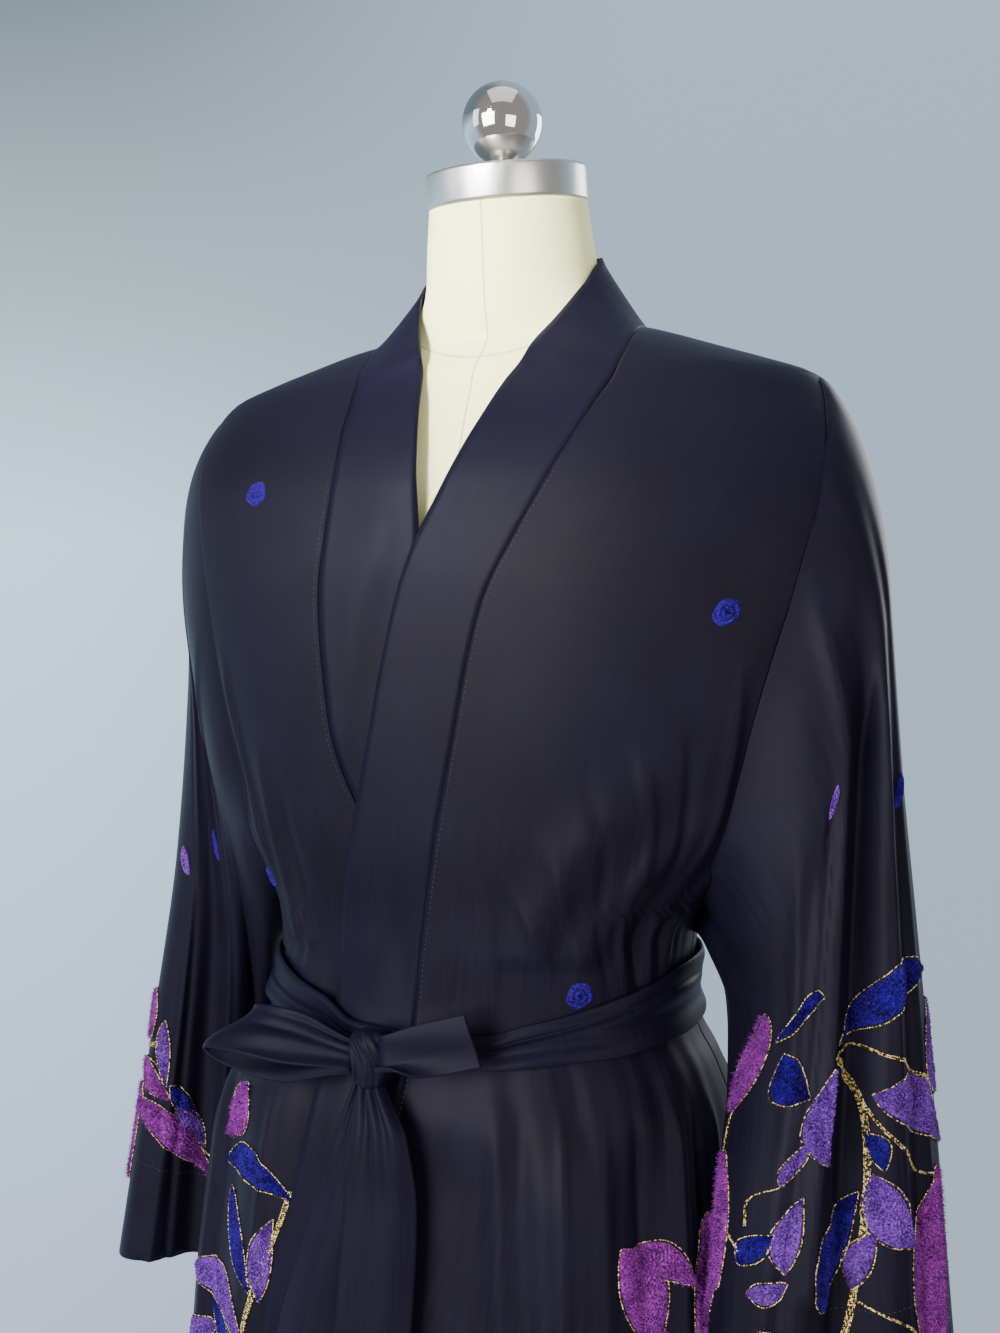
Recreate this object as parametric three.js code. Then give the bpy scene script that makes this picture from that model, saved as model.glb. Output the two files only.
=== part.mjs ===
import * as THREE from 'three';

// A kimono robe, tied with its sash, worn by a limbless dress form on a stand.
// Millimetres, +Z up. The front faces -Y and the wearer's left is +X.
// The origin is on the floor under the pole.

// Cloth, as walls about their middle surface
const clothWall = 1.4;
const bandWall = 2.4;
const sashWall = 2.2;
const seamGap = 0.35;
const armholeGap = 1.3;
const underarmGap = 2.7;
const layerStep = 4.6;
const layerEase = 30;
const armholeEase = 0.3;
const squareness = 2.4;

// Heights on the robe
const neckPointZ = 1413;
const frontTopZ = 1410.5;
const shoulderTopZ = 1372;
const underarmZ = 1018;
const hemZ = 395;
const neckRise = 8;
const neckRiseFrom = 1340;
const neckRiseEase = 70;
const sashCalmZ = 974;
const sashCalmReach = 55;

// Stand and form
const baseRadius = 165;
const baseHeight = 22;
const poleRadius = 16;
const poleSeatHeight = 60;
const poleFlangeRadius = 30.4;
const poleFlangeHeight = 18;
const baseCrownRadius = 38.4;
const baseEdgeHeight = 8.8;
const baseShoulder = 10;
const baseShoulderHeight = 16.5;
const neckLean = THREE.MathUtils.degToRad(12);
const capCentreZ = 1500;
const capRadius = 54;
const capHeight = 23;
const capRim = 3;
const ballRadius = 27;
const collarRadius = 9;
const collarHeight = 4.5;
const hardGap = 0.3;

// Plan of the worn robe by height: half widths on the wearer's left and right, how far its front
// and back stand from the axis, and where the widest line lies (ridge).
const robeRings = [
  { z: 395, left: 188, right: 232, front: 124, back: 120, ridge: 0 },
  { z: 600, left: 175, right: 226, front: 123, back: 117, ridge: 0 },
  { z: 771, left: 159, right: 216, front: 121, back: 114, ridge: 0 },
  { z: 850, left: 156, right: 206, front: 118, back: 112, ridge: 0 },
  { z: 905, left: 152, right: 198, front: 113, back: 108, ridge: 0 },
  { z: 938, left: 141, right: 180, front: 105, back: 99, ridge: 0 },
  { z: 956, left: 131, right: 167, front: 101, back: 93, ridge: 0 },
  { z: 978, left: 124, right: 160, front: 99, back: 91, ridge: 0 },
  { z: 1018, left: 127, right: 152, front: 102, back: 93, ridge: 0 },
  { z: 1090, left: 186, right: 182, front: 112, back: 104, ridge: 2 },
  { z: 1170, left: 225, right: 212, front: 119, back: 114, ridge: 5 },
  { z: 1240, left: 246, right: 232, front: 121, back: 120, ridge: 8 },
  { z: 1298, left: 252, right: 244, front: 112, back: 122, ridge: 10 },
  { z: 1325, left: 242, right: 238, front: 103, back: 118, ridge: 11 },
  { z: 1352, left: 224, right: 222, front: 89, back: 110, ridge: 12 },
  { z: 1372, left: 207, right: 207, front: 74, back: 102, ridge: 12 },
  { z: 1384, left: 177, right: 179, front: 62, back: 98, ridge: 12 },
  { z: 1394, left: 148, right: 150, front: 51, back: 95, ridge: 12 },
  { z: 1404, left: 120, right: 121, front: 37, back: 92, ridge: 12 },
  { z: 1413, left: 94, right: 94, front: 12, back: 89, ridge: 12 },
];

// Armhole seams seen from the front: distance from the middle by height.
const armholeLines = [
  { z: 1018, left: 127, right: 152 },
  { z: 1090, left: 160, right: 161 },
  { z: 1170, left: 184, right: 175 },
  { z: 1240, left: 205, right: 183 },
  { z: 1298, left: 217, right: 193 },
  { z: 1325, left: 218, right: 200 },
  { z: 1352, left: 214, right: 207 },
  { z: 1372, left: 207, right: 207 },
];

// The front bands by height: x of the seam to the panel and of the free edge.
const leftBandLines = [
  { z: 395, seam: -92, edge: -152 },
  { z: 600, seam: -80, edge: -140 },
  { z: 771, seam: -68, edge: -128 },
  { z: 853, seam: -48, edge: -108 },
  { z: 935, seam: -31, edge: -91 },
  { z: 1008, seam: -22, edge: -81 },
  { z: 1046, seam: -15, edge: -76 },
  { z: 1096, seam: -5, edge: -63 },
  { z: 1143, seam: 6, edge: -51 },
  { z: 1195, seam: 17, edge: -39 },
  { z: 1230, seam: 27, edge: -30 },
  { z: 1263, seam: 43, edge: -19 },
  { z: 1292, seam: 58, edge: -6 },
  { z: 1322, seam: 73, edge: 7 },
  { z: 1347, seam: 86, edge: 18 },
  { z: 1370, seam: 95, edge: 27 },
  { z: 1395, seam: 96, edge: 38 },
  { z: 1413, seam: 94, edge: 46 },
];
const rightBandLines = [
  { z: 395, seam: 76, edge: 136 },
  { z: 600, seam: 66, edge: 126 },
  { z: 771, seam: 52, edge: 112 },
  { z: 935, seam: 24, edge: 84 },
  { z: 1008, seam: 4, edge: 64 },
  { z: 1046, seam: -20, edge: 44 },
  { z: 1086, seam: -55, edge: 12 },
  { z: 1130, seam: -73, edge: -6 },
  { z: 1159, seam: -79, edge: -12 },
  { z: 1228, seam: -84, edge: -17 },
  { z: 1270, seam: -81, edge: -18 },
  { z: 1320, seam: -78, edge: -23 },
  { z: 1352, seam: -78, edge: -28 },
  { z: 1372, seam: -80, edge: -32 },
  { z: 1396, seam: -84, edge: -40 },
  { z: 1413, seam: -94, edge: -46 },
];

// The standing part of the band. Each row joins a place on the neckline to a place on the free edge:
// the seam is on the neck ring at a turn from the centre back, then on the front at a height.
const neckStations = [
  { turn: 0, x: 0, y: 72, z: 1478 },
  { turn: 30, x: 32, y: 66, z: 1477 },
  { turn: 60, x: 53, y: 44, z: 1472 },
  { turn: 88, x: 61, y: 12, z: 1460 },
];
const collarStations = [
  { seamZ: 1410, x: 60, y: -8, z: 1446 },
  { seamZ: 1402, x: 55, y: -24, z: 1431 },
  { seamZ: 1390, x: 47, y: -44, z: 1411 },
  { seamZ: 1374, x: 38, y: -63, z: 1392 },
];
const lapelStations = [
  { seamZ: 1352, edgeZ: 1370 },
  { seamZ: 1322, edgeZ: 1341 },
  { seamZ: 1292, edgeZ: 1308 },
  { seamZ: 1262, edgeZ: 1275 },
  { seamZ: 1228, edgeZ: 1237 },
  { seamZ: 1190, edgeZ: 1195 },
];
const plainBandHeights = [1146, 1100, 1054, 1016, 980, 940, 900, 850, 780, 700, 600, 500, 395];

// Sleeve sections from the armhole (0) to the cuff (1): where the outer and the inner fold of the
// sleeve run, how far its front and back faces stand from the line between them, how far that line
// bows out sideways, and the turn of the faces about the vertical, in degrees.
const leftSleeve = [
  {
    t: 0, outX: 207, outY: 12, outZ: 1372, inX: 127, inY: 0, inZ: 1018,
    front: 84, back: 84, bow: 32, turn: 0,
  },
  {
    t: 0.08, outX: 227, outY: 12, outZ: 1357, inX: 138, inY: -4, inZ: 1016,
    front: 80, back: 78, bow: 29, turn: 4,
  },
  {
    t: 0.2, outX: 243, outY: 11, outZ: 1306, inX: 146, inY: -12, inZ: 998,
    front: 76, back: 74, bow: 21, turn: 10,
  },
  {
    t: 0.35, outX: 246, outY: 11, outZ: 1225, inX: 153, inY: -22, inZ: 980,
    front: 68, back: 60, bow: 12, turn: 17,
  },
  {
    t: 0.5, outX: 250, outY: 11, outZ: 1138, inX: 158, inY: -36, inZ: 955,
    front: 61, back: 46, bow: 6, turn: 23,
  },
  {
    t: 0.65, outX: 258, outY: 11, outZ: 1040, inX: 160, inY: -50, inZ: 922,
    front: 56, back: 34, bow: 2, turn: 28,
  },
  {
    t: 0.8, outX: 268, outY: 12, outZ: 930, inX: 157, inY: -66, inZ: 876,
    front: 54, back: 26, bow: 0, turn: 31,
  },
  {
    t: 1, outX: 282, outY: 14, outZ: 754, inX: 150, inY: -78, inZ: 760,
    front: 54, back: 24, bow: 0, turn: 33,
  },
];
const rightSleeve = [
  {
    t: 0, outX: -207, outY: 12, outZ: 1372, inX: -152, inY: 0, inZ: 1018,
    front: 84, back: 84, bow: 12, turn: 0,
  },
  {
    t: 0.08, outX: -232, outY: 12, outZ: 1354, inX: -166, inY: 8, inZ: 1016,
    front: 78, back: 80, bow: 12, turn: 4,
  },
  {
    t: 0.2, outX: -247, outY: 12, outZ: 1318, inX: -176, inY: 18, inZ: 998,
    front: 70, back: 76, bow: 10, turn: 10,
  },
  {
    t: 0.35, outX: -250, outY: 12, outZ: 1238, inX: -188, inY: 30, inZ: 978,
    front: 58, back: 66, bow: 6, turn: 17,
  },
  {
    t: 0.5, outX: -257, outY: 12, outZ: 1150, inX: -198, inY: 44, inZ: 948,
    front: 46, back: 58, bow: 3, turn: 23,
  },
  {
    t: 0.65, outX: -267, outY: 12, outZ: 1048, inX: -208, inY: 58, inZ: 910,
    front: 38, back: 54, bow: 0, turn: 28,
  },
  {
    t: 0.8, outX: -284, outY: 10, outZ: 936, inX: -217, inY: 70, inZ: 860,
    front: 35, back: 52, bow: 0, turn: 31,
  },
  {
    t: 1, outX: -312, outY: 4, outZ: 750, inX: -228, inY: 80, inZ: 752,
    front: 34, back: 52, bow: 0, turn: 33,
  },
];

// Folds that run down a piece: from (fromU, fromV) to (toU, toV), where u runs across and v down.
// Rise is how far the crest stands out, so a valley has a negative one. Width is in units of u.
const frontFolds = [
  { fromU: 52, fromV: 1120, toU: 34, toV: 1010, width: 7, rise: 5 },
  { fromU: 30, fromV: 1140, toU: 19, toV: 1010, width: 7, rise: 5 },
  { fromU: -60, fromV: 1130, toU: -48, toV: 1010, width: 8, rise: 5 },
  { fromU: 0, fromV: 925, toU: 4, toV: 395, width: 9, rise: -6 },
  { fromU: 23, fromV: 925, toU: 26, toV: 395, width: 9, rise: 6 },
  { fromU: 47, fromV: 925, toU: 50, toV: 395, width: 9, rise: -6 },
  { fromU: -72, fromV: 925, toU: -72, toV: 395, width: 8, rise: 6 },
  { fromU: -52, fromV: 925, toU: -55, toV: 395, width: 8, rise: -5 },
];
const backFolds = [
  { fromU: -45, fromV: 1150, toU: -25, toV: 1020, width: 9, rise: 6 },
  { fromU: 45, fromV: 1150, toU: 25, toV: 1020, width: 9, rise: 6 },
  { fromU: -50, fromV: 930, toU: -55, toV: 395, width: 9, rise: 9 },
  { fromU: -18, fromV: 930, toU: -18, toV: 395, width: 9, rise: -8 },
  { fromU: 16, fromV: 930, toU: 18, toV: 395, width: 9, rise: 8 },
  { fromU: 48, fromV: 930, toU: 52, toV: 395, width: 9, rise: -8 },
];
const leftSleeveFolds = [
  { fromU: 0.3, fromV: 0.14, toU: 0.62, toV: 1, width: 0.09, rise: -15 },
  { fromU: 0.16, fromV: 0.2, toU: 0.42, toV: 1, width: 0.08, rise: 7 },
  { fromU: 0.55, fromV: 0.3, toU: 0.82, toV: 1, width: 0.08, rise: 6 },
];
const rightSleeveFolds = [
  { fromU: 0.3, fromV: 0.2, toU: 0.45, toV: 1, width: 0.1, rise: -8 },
  { fromU: 0.55, fromV: 0.3, toU: 0.7, toV: 1, width: 0.1, rise: 6 },
];
const sleeveBackFolds = [
  { fromU: 0.4, fromV: 0.2, toU: 0.5, toV: 1, width: 0.12, rise: -12 },
];
const foldEaseAcross = 60;
const sleeveFoldEase = 0.2;

// The sash by turn from the centre front, in degrees towards the wearer's left: the height of its
// middle and half its width.
const sashLines = [
  { turn: -180, z: 990, half: 21 },
  { turn: -120, z: 987, half: 20 },
  { turn: -80, z: 984, half: 19 },
  { turn: -64, z: 982, half: 16 },
  { turn: -40, z: 973, half: 12 },
  { turn: -30, z: 968, half: 11 },
  { turn: -20, z: 958, half: 9 },
  { turn: 0, z: 955, half: 9.5 },
  { turn: 8, z: 956, half: 10 },
  { turn: 16, z: 960, half: 12 },
  { turn: 28, z: 965, half: 13 },
  { turn: 45, z: 971, half: 16 },
  { turn: 61, z: 977, half: 18 },
  { turn: 80, z: 982, half: 20 },
  { turn: 120, z: 986, half: 20 },
  { turn: 180, z: 990, half: 21 },
];
const sashStand = 4.6;

// Knot and what comes out of it
const knotX = -46;
const knotZ = 950;
const knotHalfWidth = 13;
const knotHalfDepth = 11;
const knotHalfHeight = 18;
const knotStand = 1.7;
const loopLength = 104;
const loopOpening = 12;
const loopWidth = 34;
const loopStart = 0.6;
const loopForward = 5;
const endLength = 56;
const endRise = 9;
const endForward = 4;
const endStart = 0.9;
const endHalfNear = 11;
const endHalfFar = 17;
const endLeanNear = 0.1;
const endLeanFar = -0.35;

// The dress form by height: half width, front and back, where its widest line lies, and how
// square its plan is. Its shoulders lie just under the cloth.
const formRings = [
  { z: 812, half: 128, front: 88, back: 86, ridge: 0, square: 2.2 },
  { z: 830, half: 144, front: 97, back: 95, ridge: 0, square: 2.2 },
  { z: 880, half: 142, front: 98, back: 96, ridge: 0, square: 2.3 },
  { z: 930, half: 124, front: 90, back: 84, ridge: 0, square: 2.3 },
  { z: 978, half: 108, front: 80, back: 70, ridge: 0, square: 2.3 },
  { z: 1040, half: 114, front: 86, back: 76, ridge: 0, square: 2.3 },
  { z: 1110, half: 136, front: 98, back: 88, ridge: 2, square: 2.3 },
  { z: 1180, half: 156, front: 108, back: 98, ridge: 5, square: 2.4 },
  { z: 1240, half: 168, front: 107, back: 108, ridge: 8, square: 2.4 },
  { z: 1300, half: 180, front: 97, back: 112, ridge: 10, square: 2.4 },
  { z: 1340, half: 190, front: 82, back: 106, ridge: 12, square: 2.4 },
  { z: 1360, half: 192, front: 72, back: 101, ridge: 12, square: 2.4 },
  { z: 1372, half: 189, front: 67, back: 97, ridge: 12, square: 2.4 },
  { z: 1383, half: 174, front: 59, back: 94, ridge: 12, square: 2.4 },
  { z: 1394, half: 144.5, front: 47, back: 91, ridge: 12, square: 2.2 },
  { z: 1404, half: 112, front: 40, back: 88, ridge: 14, square: 1.8 },
  { z: 1413, half: 83, front: 42, back: 83, ridge: 16, square: 1.9 },
  { z: 1424, half: 70, front: 45, back: 79, ridge: 15, square: 2 },
  { z: 1440, half: 61, front: 47, back: 73, ridge: 13, square: 2 },
  { z: 1470, half: 57, front: 50, back: 63, ridge: 6.5, square: 2 },
];

// Small sums
const clamp = (value, low, high) => Math.min(high, Math.max(low, value));
const mix = (a, b, t) => a + (b - a) * t;
const ease = (t) => {
  const c = clamp(t, 0, 1);
  return c * c * (3 - 2 * c);
};
const degrees = (turn) => THREE.MathUtils.degToRad(turn);

// Value of a table's column at a place along its key: a cubic that never overshoots the rows.
function column(table, key, name, place) {
  const at = clamp(place, table[0][key], table[table.length - 1][key]);
  let i = 0;
  while (i < table.length - 2 && table[i + 1][key] < at) i += 1;
  const step = (k) => table[k + 1][key] - table[k][key];
  const slope = (k) => (table[k + 1][name] - table[k][name]) / step(k);
  const tangent = (k) => {
    if (k === 0) return slope(0);
    if (k === table.length - 1) return slope(k - 1);
    const before = slope(k - 1);
    const after = slope(k);
    if (before * after <= 0) return 0;
    const a = 2 * step(k) + step(k - 1);
    const b = step(k) + 2 * step(k - 1);
    return (a + b) / (a / before + b / after);
  };
  const h = step(i);
  const t = (at - table[i][key]) / h;
  const t2 = t * t;
  const t3 = t2 * t;
  return (2 * t3 - 3 * t2 + 1) * table[i][name] + (t3 - 2 * t2 + t) * h * tangent(i)
    + (3 * t2 - 2 * t3) * table[i + 1][name] + (t3 - t2) * h * tangent(i + 1);
}

// A closed wall about a grid of middle points. Rows run down, columns across; a closed grid joins
// its last column to its first.
function wall(grid, thickness, closed = false) {
  const rows = grid.length;
  const cols = grid[0].length;
  const positions = [];
  const turned = (j) => (closed ? (j + cols) % cols : clamp(j, 0, cols - 1));
  const normalAt = (i, j) => {
    const across = grid[i][turned(j + 1)].clone().sub(grid[i][turned(j - 1)]);
    const down = grid[clamp(i + 1, 0, rows - 1)][j].clone().sub(grid[clamp(i - 1, 0, rows - 1)][j]);
    return across.cross(down).normalize();
  };
  for (const side of [0.5, -0.5]) {
    for (let i = 0; i < rows; i += 1) {
      for (let j = 0; j < cols; j += 1) {
        const p = grid[i][j].clone().addScaledVector(normalAt(i, j), side * thickness);
        positions.push(p.x, p.y, p.z);
      }
    }
  }
  const outer = (i, j) => i * cols + turned(j);
  const inner = (i, j) => rows * cols + i * cols + turned(j);
  const index = [];
  const quad = (a, b, c, d) => index.push(a, b, c, a, c, d);
  const spans = closed ? cols : cols - 1;
  for (let i = 0; i < rows - 1; i += 1) {
    for (let j = 0; j < spans; j += 1) {
      quad(outer(i, j), outer(i, j + 1), outer(i + 1, j + 1), outer(i + 1, j));
      quad(inner(i, j), inner(i + 1, j), inner(i + 1, j + 1), inner(i, j + 1));
    }
  }
  for (let j = 0; j < spans; j += 1) {
    const last = rows - 1;
    quad(outer(0, j), inner(0, j), inner(0, j + 1), outer(0, j + 1));
    quad(outer(last, j), outer(last, j + 1), inner(last, j + 1), inner(last, j));
  }
  if (!closed) {
    for (let i = 0; i < rows - 1; i += 1) {
      const last = cols - 1;
      quad(outer(i, 0), outer(i + 1, 0), inner(i + 1, 0), inner(i, 0));
      quad(outer(i, last), inner(i, last), inner(i + 1, last), outer(i + 1, last));
    }
  }
  return facingOut(positions, index);
}

// A geometry from points and triangles, turned so that its faces point out.
function facingOut(positions, index) {
  let volume = 0;
  const corner = (k) => new THREE.Vector3().fromArray(positions, 3 * index[k]);
  for (let k = 0; k < index.length; k += 3) {
    volume += corner(k).dot(corner(k + 1).cross(corner(k + 2)));
  }
  if (volume < 0) index.reverse();
  const geometry = new THREE.BufferGeometry();
  geometry.setAttribute('position', new THREE.Float32BufferAttribute(positions, 3));
  geometry.setIndex(index);
  geometry.computeVertexNormals();
  return geometry;
}

// A solid from rings of equal length, closed by a flat fan at each end.
function ringSolid(rings) {
  const count = rings[0].length;
  const positions = rings.flat().flatMap((p) => [p.x, p.y, p.z]);
  const index = [];
  for (let i = 0; i < rings.length - 1; i += 1) {
    for (let j = 0; j < count; j += 1) {
      const a = i * count + j;
      const b = i * count + ((j + 1) % count);
      index.push(a, b, b + count, a, b + count, a + count);
    }
  }
  const last = (rings.length - 1) * count;
  for (let j = 1; j < count - 1; j += 1) {
    index.push(0, j + 1, j, last, last + j, last + j + 1);
  }
  return facingOut(positions, index);
}

// A rounded block with half sizes a, b and c about a centre, as a sphere pushed towards a box.
function roundedBlock(centre, a, b, c, round) {
  const across = 14;
  const up = 8;
  const push = (value) => Math.sign(value) * Math.abs(value) ** round;
  const rings = [];
  for (let i = 1; i < up; i += 1) {
    const high = -Math.PI / 2 + (Math.PI * i) / up;
    const ring = [];
    for (let j = 0; j < across; j += 1) {
      const turn = (2 * Math.PI * j) / across;
      ring.push(new THREE.Vector3(
        centre.x + a * push(Math.cos(high)) * push(Math.cos(turn)),
        centre.y + b * push(Math.cos(high)) * push(Math.sin(turn)),
        centre.z + c * push(Math.sin(high)),
      ));
    }
    rings.push(ring);
  }
  return ringSolid(rings);
}

// Folds: the sum of their crests at a place, each fading in over its first stretch.
function foldRise(folds, u, v, stretch) {
  let sum = 0;
  for (const fold of folds) {
    const along = (v - fold.fromV) / (fold.toV - fold.fromV);
    const middle = mix(fold.fromU, fold.toU, clamp(along, 0, 1));
    const start = Math.abs(v - fold.fromV) / stretch;
    const reach = along > 0 && along <= 1.0001 ? ease(start) : 0;
    sum += fold.rise * reach * Math.exp(-(((u - middle) / fold.width) ** 2));
  }
  return sum;
}

// The folds of the bodice stop short of the sash.
const sashCalm = (z) => ease(Math.abs(z - sashCalmZ) / sashCalmReach);

// Point of the worn robe's plan: turn from the centre front (or back), -90 to 90 degrees, with the
// wearer's left positive.
function robePoint(z, turn, behind = false) {
  const angle = degrees(turn);
  const half = column(robeRings, 'z', turn > 0 ? 'left' : 'right', z);
  const ridge = column(robeRings, 'z', 'ridge', z);
  const across = Math.sign(turn) * half * Math.abs(Math.sin(angle)) ** (2 / squareness);
  const round = Math.max(0, Math.cos(angle)) ** (2 / squareness);
  const depth = behind
    ? mix(ridge, column(robeRings, 'z', 'back', z), round)
    : mix(ridge, -column(robeRings, 'z', 'front', z), round);
  return new THREE.Vector3(across, depth, z);
}

// Turn at which the plan has a given x.
function turnAt(z, x) {
  const half = column(robeRings, 'z', x > 0 ? 'left' : 'right', z);
  const share = clamp(Math.abs(x) / half, 0, 1) ** (squareness / 2);
  return Math.sign(x) * THREE.MathUtils.radToDeg(Math.asin(share));
}

// Outward direction of the plan at a place, found from its neighbours.
function outward(z, turn, behind) {
  const across = robePoint(z, turn + 0.5, behind).sub(robePoint(z, turn - 0.5, behind));
  return new THREE.Vector3(across.y, -across.x, 0).normalize().multiplyScalar(behind ? -1 : 1);
}

// Point of a robe panel, moved out of the plan by its folds and by a set amount.
function panelPoint(z, turn, behind, folds, moved) {
  const rise = foldRise(folds, turn, z, foldEaseAcross) * sashCalm(z);
  const safe = clamp(turn, -89, 89);
  return robePoint(z, turn, behind).addScaledVector(outward(z, safe, behind), rise + moved);
}

// The right front and its band pass under the left ones.
function underlap(z, x) {
  const edge = column(leftBandLines, 'z', 'edge', z);
  return -layerStep * ease((x - edge + layerEase) / layerEase);
}

// Turn at which a panel ends at the side of one hand: the armhole, or else the side seam.
function sideTurn(z, hand) {
  const name = hand > 0 ? 'left' : 'right';
  if (z >= shoulderTopZ || z <= underarmZ) return 90;
  return Math.abs(turnAt(z, hand * column(armholeLines, 'z', name, z)));
}

function sideGap(z) {
  if (z > shoulderTopZ || z < underarmZ) return seamGap;
  return mix(armholeGap, underarmGap, ((shoulderTopZ - z) / (shoulderTopZ - underarmZ)) ** 2);
}

// A length along the plan as a turn, near enough for a seam gap.
const gapStretch = 1.5;
const degreesOf = (z, length) => {
  const reach = Math.hypot(column(robeRings, 'z', 'left', z), column(robeRings, 'z', 'back', z));
  return THREE.MathUtils.radToDeg((gapStretch * length) / reach);
};

// Along the armhole a panel and its sleeve share their points: shares of the way down.
const faceSteps = 12;
const shareAt = (k) => (1 - Math.cos((Math.PI * k) / faceSteps)) / 2;
const faceShares = Array.from({ length: faceSteps + 1 }, (_, k) => shareAt(k));
const panelHeights = [
  1404, 1394, 1383, ...faceShares.map((w) => mix(shoulderTopZ, underarmZ, w)),
  1000, 978, 958, 936, 908, 870, 820, 760, 690, 610, 520, 450, hemZ,
];

// The back: from one side to the other, from the neckline to the hem.
function backGrid() {
  const across = 18;
  return [neckPointZ, ...panelHeights].map((z) => {
    const slack = degreesOf(z, sideGap(z));
    const from = -sideTurn(z, -1) + slack;
    const to = sideTurn(z, 1) - slack;
    const row = [];
    for (let j = 0; j <= across; j += 1) {
      const turn = mix(from, to, j / across);
      const p = panelPoint(z, turn, true, backFolds, 0);
      p.z += neckRise * ease((z - neckRiseFrom) / neckRiseEase) * Math.cos(degrees(turn)) ** 2;
      row.push(p);
    }
    return row;
  });
}

// A front, from its band seam to the armhole and side seam. Hand is 1 for the wearer's left.
function frontGrid(hand, bandLines, across) {
  return [frontTopZ, ...panelHeights].map((z) => {
    const slack = degreesOf(z, seamGap);
    const from = turnAt(z, column(bandLines, 'z', 'seam', z)) + hand * slack;
    const to = hand * (sideTurn(z, hand) - degreesOf(z, sideGap(z)));
    const row = [];
    for (let j = 0; j <= across; j += 1) {
      const turn = mix(from, to, j / across);
      const x = robePoint(z, turn).x;
      const moved = hand < 0 ? underlap(z, x) : 0;
      row.push(panelPoint(z, turn, false, frontFolds, moved));
    }
    return row;
  });
}

// Two ends of the band's width at one station, seam first.
function bandStations(hand, bandLines) {
  const stations = [];
  const onFront = (z, x) => {
    const moved = hand < 0 ? underlap(z, x) : 0;
    return panelPoint(z, turnAt(z, x), false, frontFolds, moved);
  };
  for (const row of neckStations) {
    const seam = robePoint(neckPointZ, hand * row.turn, true);
    seam.z += neckRise * Math.cos(degrees(row.turn)) ** 2;
    const apart = new THREE.Vector3(row.turn === 0 ? hand * seamGap : 0, 0, 0);
    const edge = new THREE.Vector3(hand * row.x, row.y, row.z);
    stations.push([seam.add(apart), edge.add(apart)]);
  }
  for (const row of collarStations) {
    const seam = onFront(row.seamZ, column(bandLines, 'z', 'seam', row.seamZ));
    stations.push([seam, new THREE.Vector3(hand * row.x, row.y, row.z)]);
  }
  const lower = [...lapelStations, ...plainBandHeights.map((z) => ({ seamZ: z, edgeZ: z }))];
  for (const row of lower) {
    const seam = onFront(row.seamZ, column(bandLines, 'z', 'seam', row.seamZ));
    stations.push([seam, onFront(row.edgeZ, column(bandLines, 'z', 'edge', row.edgeZ))]);
  }
  return stations;
}

// The band: its width is divided between the seam and the free edge and follows the body's round.
function bandGrid(hand, bandLines) {
  const across = 3;
  return bandStations(hand, bandLines).map(([seam, edge], i) => {
    const flat = i >= neckStations.length + collarStations.length;
    const width = edge.distanceTo(seam);
    const from = (bandWall / 2) / width;
    const row = [];
    for (let j = 0; j <= across; j += 1) {
      const share = mix(from, 1, j / across);
      const p = seam.clone().lerp(edge, share);
      if (flat) {
        const moved = hand < 0 ? underlap(p.z, p.x) : 0;
        row.push(panelPoint(p.z, turnAt(p.z, p.x), false, frontFolds, moved));
      } else {
        row.push(p);
      }
    }
    return row;
  });
}

// Point of the armhole loop: w runs from the shoulder (0) to the underarm (1).
function armholePoint(hand, w, behind) {
  const z = mix(shoulderTopZ, underarmZ, w);
  return panelPoint(z, hand * sideTurn(z, hand), behind, behind ? backFolds : frontFolds, 0);
}

// Point of a sleeve: w across a face from the outer to the inner fold, t from armhole to cuff.
function sleevePoint(hand, table, folds, w, t, behind) {
  const value = (name) => column(table, 't', name, t);
  const outer = new THREE.Vector3(value('outX'), value('outY'), value('outZ'));
  const inner = new THREE.Vector3(value('inX'), value('inY'), value('inZ'));
  const turn = degrees(value('turn'));
  const face = new THREE.Vector3(Math.sin(turn), -Math.cos(turn), 0);
  const arch = (1 - Math.abs(2 * w - 1) ** squareness) ** (1 / squareness);
  const stand = behind ? -value('back') : value('front');
  const rise = foldRise(behind ? sleeveBackFolds : folds, w, t, sleeveFoldEase) * arch;
  const p = outer.lerp(inner, w).addScaledVector(face, stand * arch + (behind ? -rise : rise));
  p.x += hand * value('bow') * 4 * w * (1 - w);
  return armholePoint(hand, w, behind).lerp(p, ease(t / armholeEase));
}

const sleeveSteps = [0, 0.04, 0.08, 0.13, 0.19, 0.26, 0.34, 0.42, 0.5, 0.58, 0.66, 0.74, 0.82, 0.91, 1];

function sleeveGrid(hand, table, folds) {
  return sleeveSteps.map((t, i) => {
    const row = [];
    for (let k = 0; k < 2 * faceSteps; k += 1) {
      const behind = k >= faceSteps;
      const w = faceShares[behind ? 2 * faceSteps - k : k];
      const p = sleevePoint(hand, table, folds, w, t, behind);
      if (i === 0) {
        const seam = armholePoint(hand, Math.min(1, w + 0.02), behind)
          .sub(armholePoint(hand, Math.max(0, w - 0.02), behind)).normalize();
        const away = sleevePoint(hand, table, folds, w, sleeveSteps[1], behind).sub(p);
        away.addScaledVector(seam, -away.dot(seam)).normalize();
        p.addScaledVector(away, mix(armholeGap, underarmGap, w * w));
      }
      row.push(p);
    }
    return row;
  });
}

// The sash round the waist, outside the panels.
function sashPoint(turn, share) {
  const z = column(sashLines, 'turn', 'z', turn) + share * column(sashLines, 'turn', 'half', turn);
  const behind = Math.abs(turn) > 90;
  const own = behind ? Math.sign(turn) * (180 - Math.abs(turn)) : turn;
  const safe = clamp(own, -89, 89);
  return robePoint(z, own, behind).addScaledVector(outward(z, safe, behind), sashStand);
}

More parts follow.
